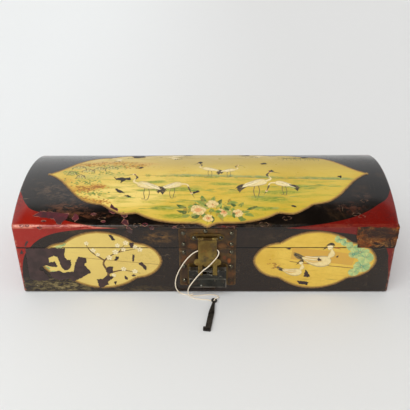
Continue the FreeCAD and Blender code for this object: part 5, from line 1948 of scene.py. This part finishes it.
def chip(name, outline, place, body, lift, dark=0.0, above=None, below=None):
    """A thin sheet of primer. Where a joint cuts it, only one body's part of it is made."""
    flat = flat_sheet("flat", outline)
    strips(flat)
    mark = flat.data.attributes.new(name="dark", type="FLOAT", domain="POINT")
    for item in mark.data:
        item.value = dark
    piece = part_of(flat, name, above, below)
    bpy.data.objects.remove(flat)
    if piece.data.polygons:
        lay(piece, place, lift, flake_thickness)
        hand_over(piece, body, "lacquered_hide", primer)
    else:
        bpy.data.objects.remove(piece)


print("primer:", primer.name)

# %% [markdown]
# Flakes came off the dome where the hide bends most, and the painted panel lost small chips where it
# was knocked. Their outlines are given corner by corner, since no noise would put them where they
# belong.

# %% Losses on the lid
random.seed(77)
dome_flakes = [
    [(-269, -99), (-258, -90), (-237, -92), (-212, -95), (-215, -105), (-220, -109), (-222, -115), (-228, -114),
     (-235, -105), (-254, -102)],
    [(-206, -105), (-203, -95), (-197, -98), (-196, -105), (-201, -110)],
    [(-152, -87), (-148, -86), (-148, -75), (-143, -82), (-136, -86), (-137, -94), (-142, -96), (-149, -92)],
    [(-129, -113), (-125, -105), (-119, -108), (-117, -115), (-121, -121), (-112, -124), (-118, -118)],
    [(-131, -98), (-128, -92), (-122, -94), (-121, -100), (-125, -103)],
    [(-85, -120), (-82, -117), (-77, -120), (-80, -123), (-84, -123)],
]
for x, y in ((-174, -96), (-157, -110), (-250, -109), (-92, -115), (-47, -120), (-275, -117), (-283, -117),
             (-256, -120)):
    r = random.uniform(2.0, 3.6)
    dome_flakes.append(oval(x, y, 1.5 * r, 0.8 * r, (0.2, 1.3, 2.4, 3.5, 4.6, 5.6)))
panel_losses = [
    [(-152, -8), (-146, -13), (-138, -9), (-132, -11), (-124, -10), (-122, -18), (-130, -17), (-134, -22),
     (-138, -26), (-138, -19), (-146, -17)],
    [(-146, -40), (-140, -42), (-132, -48), (-128, -52), (-136, -51), (-143, -47)],
    [(-130, -57), (-122, -57), (-118, -60), (-122, -61)], [(-20, -50), (-10, -46), (-8, -50), (-18, -54)],
    [(-118, 22), (-110, 26), (-104, 24), (-110, 20)], [(-14, 44), (-8, 52), (-4, 46), (-8, 40)],
    [(106, 10), (112, 14), (116, 8), (110, 6)], [(136, -80), (142, -79), (146, -84), (141, -83)],
    [(218, -8), (226, -6), (224, -13), (221, -10)], [(94, 40), (102, 44), (106, 38), (98, 36)],
    [(-134, 92), (-128, 93), (-124, 97), (-119, 94), (-112, 95), (-107, 91), (-110, 86), (-106, 80), (-113, 79),
     (-119, 75), (-127, 77), (-129, 84)],
    [(60, 100), (68, 101), (76, 105), (82, 99), (76, 97), (66, 94)],
    [(-40, 104), (-30, 110), (-22, 104), (-32, 100)], [(168, 74), (176, 80), (182, 74), (174, 70)],
]
rims = Painting()
for k, outline in enumerate(dome_flakes):
    ragged = broken(outline)
    chip(f"dome_flake_{k}", ragged, lid_point, "lid", flake_lift)
    for start in range(0, len(ragged), 5):
        if random.random() < 0.75:
            rims.stroke((ragged * 2)[start:start + 5], random.uniform(0.5, 0.9), "swell", tone(156, 98, 84))
for x, y in ((-160, -104), (-104, -116), (-38, -119), (236, -97), (244, -101), (92, -115), (128, -104), (252, -70),
             (40, -121)):
    r = random.uniform(3, 5)
    loop = broken(oval(x, y, 1.6 * r, 0.7 * r, (0.1, 1.1, 2.2, 3.3, 4.2, 5.3)), 2.4, 0.8)
    for start in range(0, len(loop), 4):
        rims.stroke((loop * 2)[start:start + 4], 0.6, "swell", tone(116, 84, 68))
lay_strokes(rims.finish("flake_rims"), lid_point, flake_rim_lift, "lid")
for k, outline in enumerate(panel_losses):
    chip(f"panel_loss_{k}", broken(outline, 1.6, 0.9), lid_point, "lid", panel_loss_lift, dark=1.0)


print("losses on the lid:", len(dome_flakes) + len(panel_losses))

# %% [markdown]
# The front lost most of its paint at the left medallion. A loss that crosses the joint is made once
# for each body that it reaches.

# %% Losses on the front
left_losses = [
    [(-284, 91), (-221, 91), (-221, 87), (-224, 75), (-220, 68), (-214, 68), (-215, 57), (-219, 49), (-227, 46),
     (-231, 53), (-234, 66), (-235, 74), (-241, 76), (-250, 71), (-250, 62), (-241, 65), (-237, 55), (-240, 53),
     (-256, 57), (-266, 53), (-267, 47), (-260, 43), (-256, 35), (-253, 31), (-256, 26), (-272, 24), (-286, 28)],
    [(-252, 43), (-236, 46), (-230, 42), (-213, 44), (-208, 61), (-202, 74), (-190, 72), (-189, 64), (-194, 58),
     (-188, 49), (-185, 41), (-194, 36), (-203, 30), (-216, 23), (-221, 30), (-239, 26), (-250, 33)],
    [(-145, 68), (-141, 75), (-137, 74), (-139, 68), (-144, 66)],
    [(-115, 79), (-112, 78), (-113, 65), (-116, 65)],
    [(-107, 61), (-101, 63), (-93, 53), (-96, 47), (-101, 54), (-106, 58)],
    [(-160, 43), (-158, 53), (-148, 55), (-149, 42), (-154, 40)],
    [(-177, 28), (-166, 29), (-159, 36), (-147, 33), (-153, 28), (-160, 22), (-157, 18), (-173, 9), (-175, 18)],
    [(-149, 22), (-144, 25), (-147, 16)], [(-130, 36), (-126, 31), (-127, 27), (-131, 28)],
    [(-120, 36), (-115, 39), (-112, 36), (-117, 33)], [(-150, 118), (-145, 117), (-140, 107), (-145, 106)],
    [(-119, 103), (-111, 101), (-113, 92), (-117, 92)], [(-123, 127), (-112, 126), (-112, 119), (-117, 121)],
]
right_losses = [
    [(160, 34), (162, 49), (166, 43), (171, 34), (166, 32)],
    [(150, 25), (160, 24), (169, 22), (167, 16), (158, 17), (153, 18)],
    [(179, 69), (181, 73), (186, 67), (181, 65)], [(128, 92), (136, 91), (134, 88)],
    [(208, 74), (212, 77), (211, 72)],
    [(-285, 96), (-280, 105), (-277, 104), (-283, 94)], [(-294, 80), (-291, 88), (-288, 83), (-290, 79)],
]
least = 0.2 * mm
for k, outline in enumerate(left_losses + right_losses):
    ragged = broken(outline, 1.9, 0.8)
    reach = [y * mm for x, y in ragged]
    for body, above, below in halves:
        if (above is None or max(reach) > above + least) and (below is None or min(reach) < below - least):
            chip(f"front_loss_{k}_{body}", ragged, front_point, body, front_loss_lift, 0.3, above, below)
print("losses:", len([o for o in bpy.data.objects if "flake" in o.name or "loss" in o.name]))
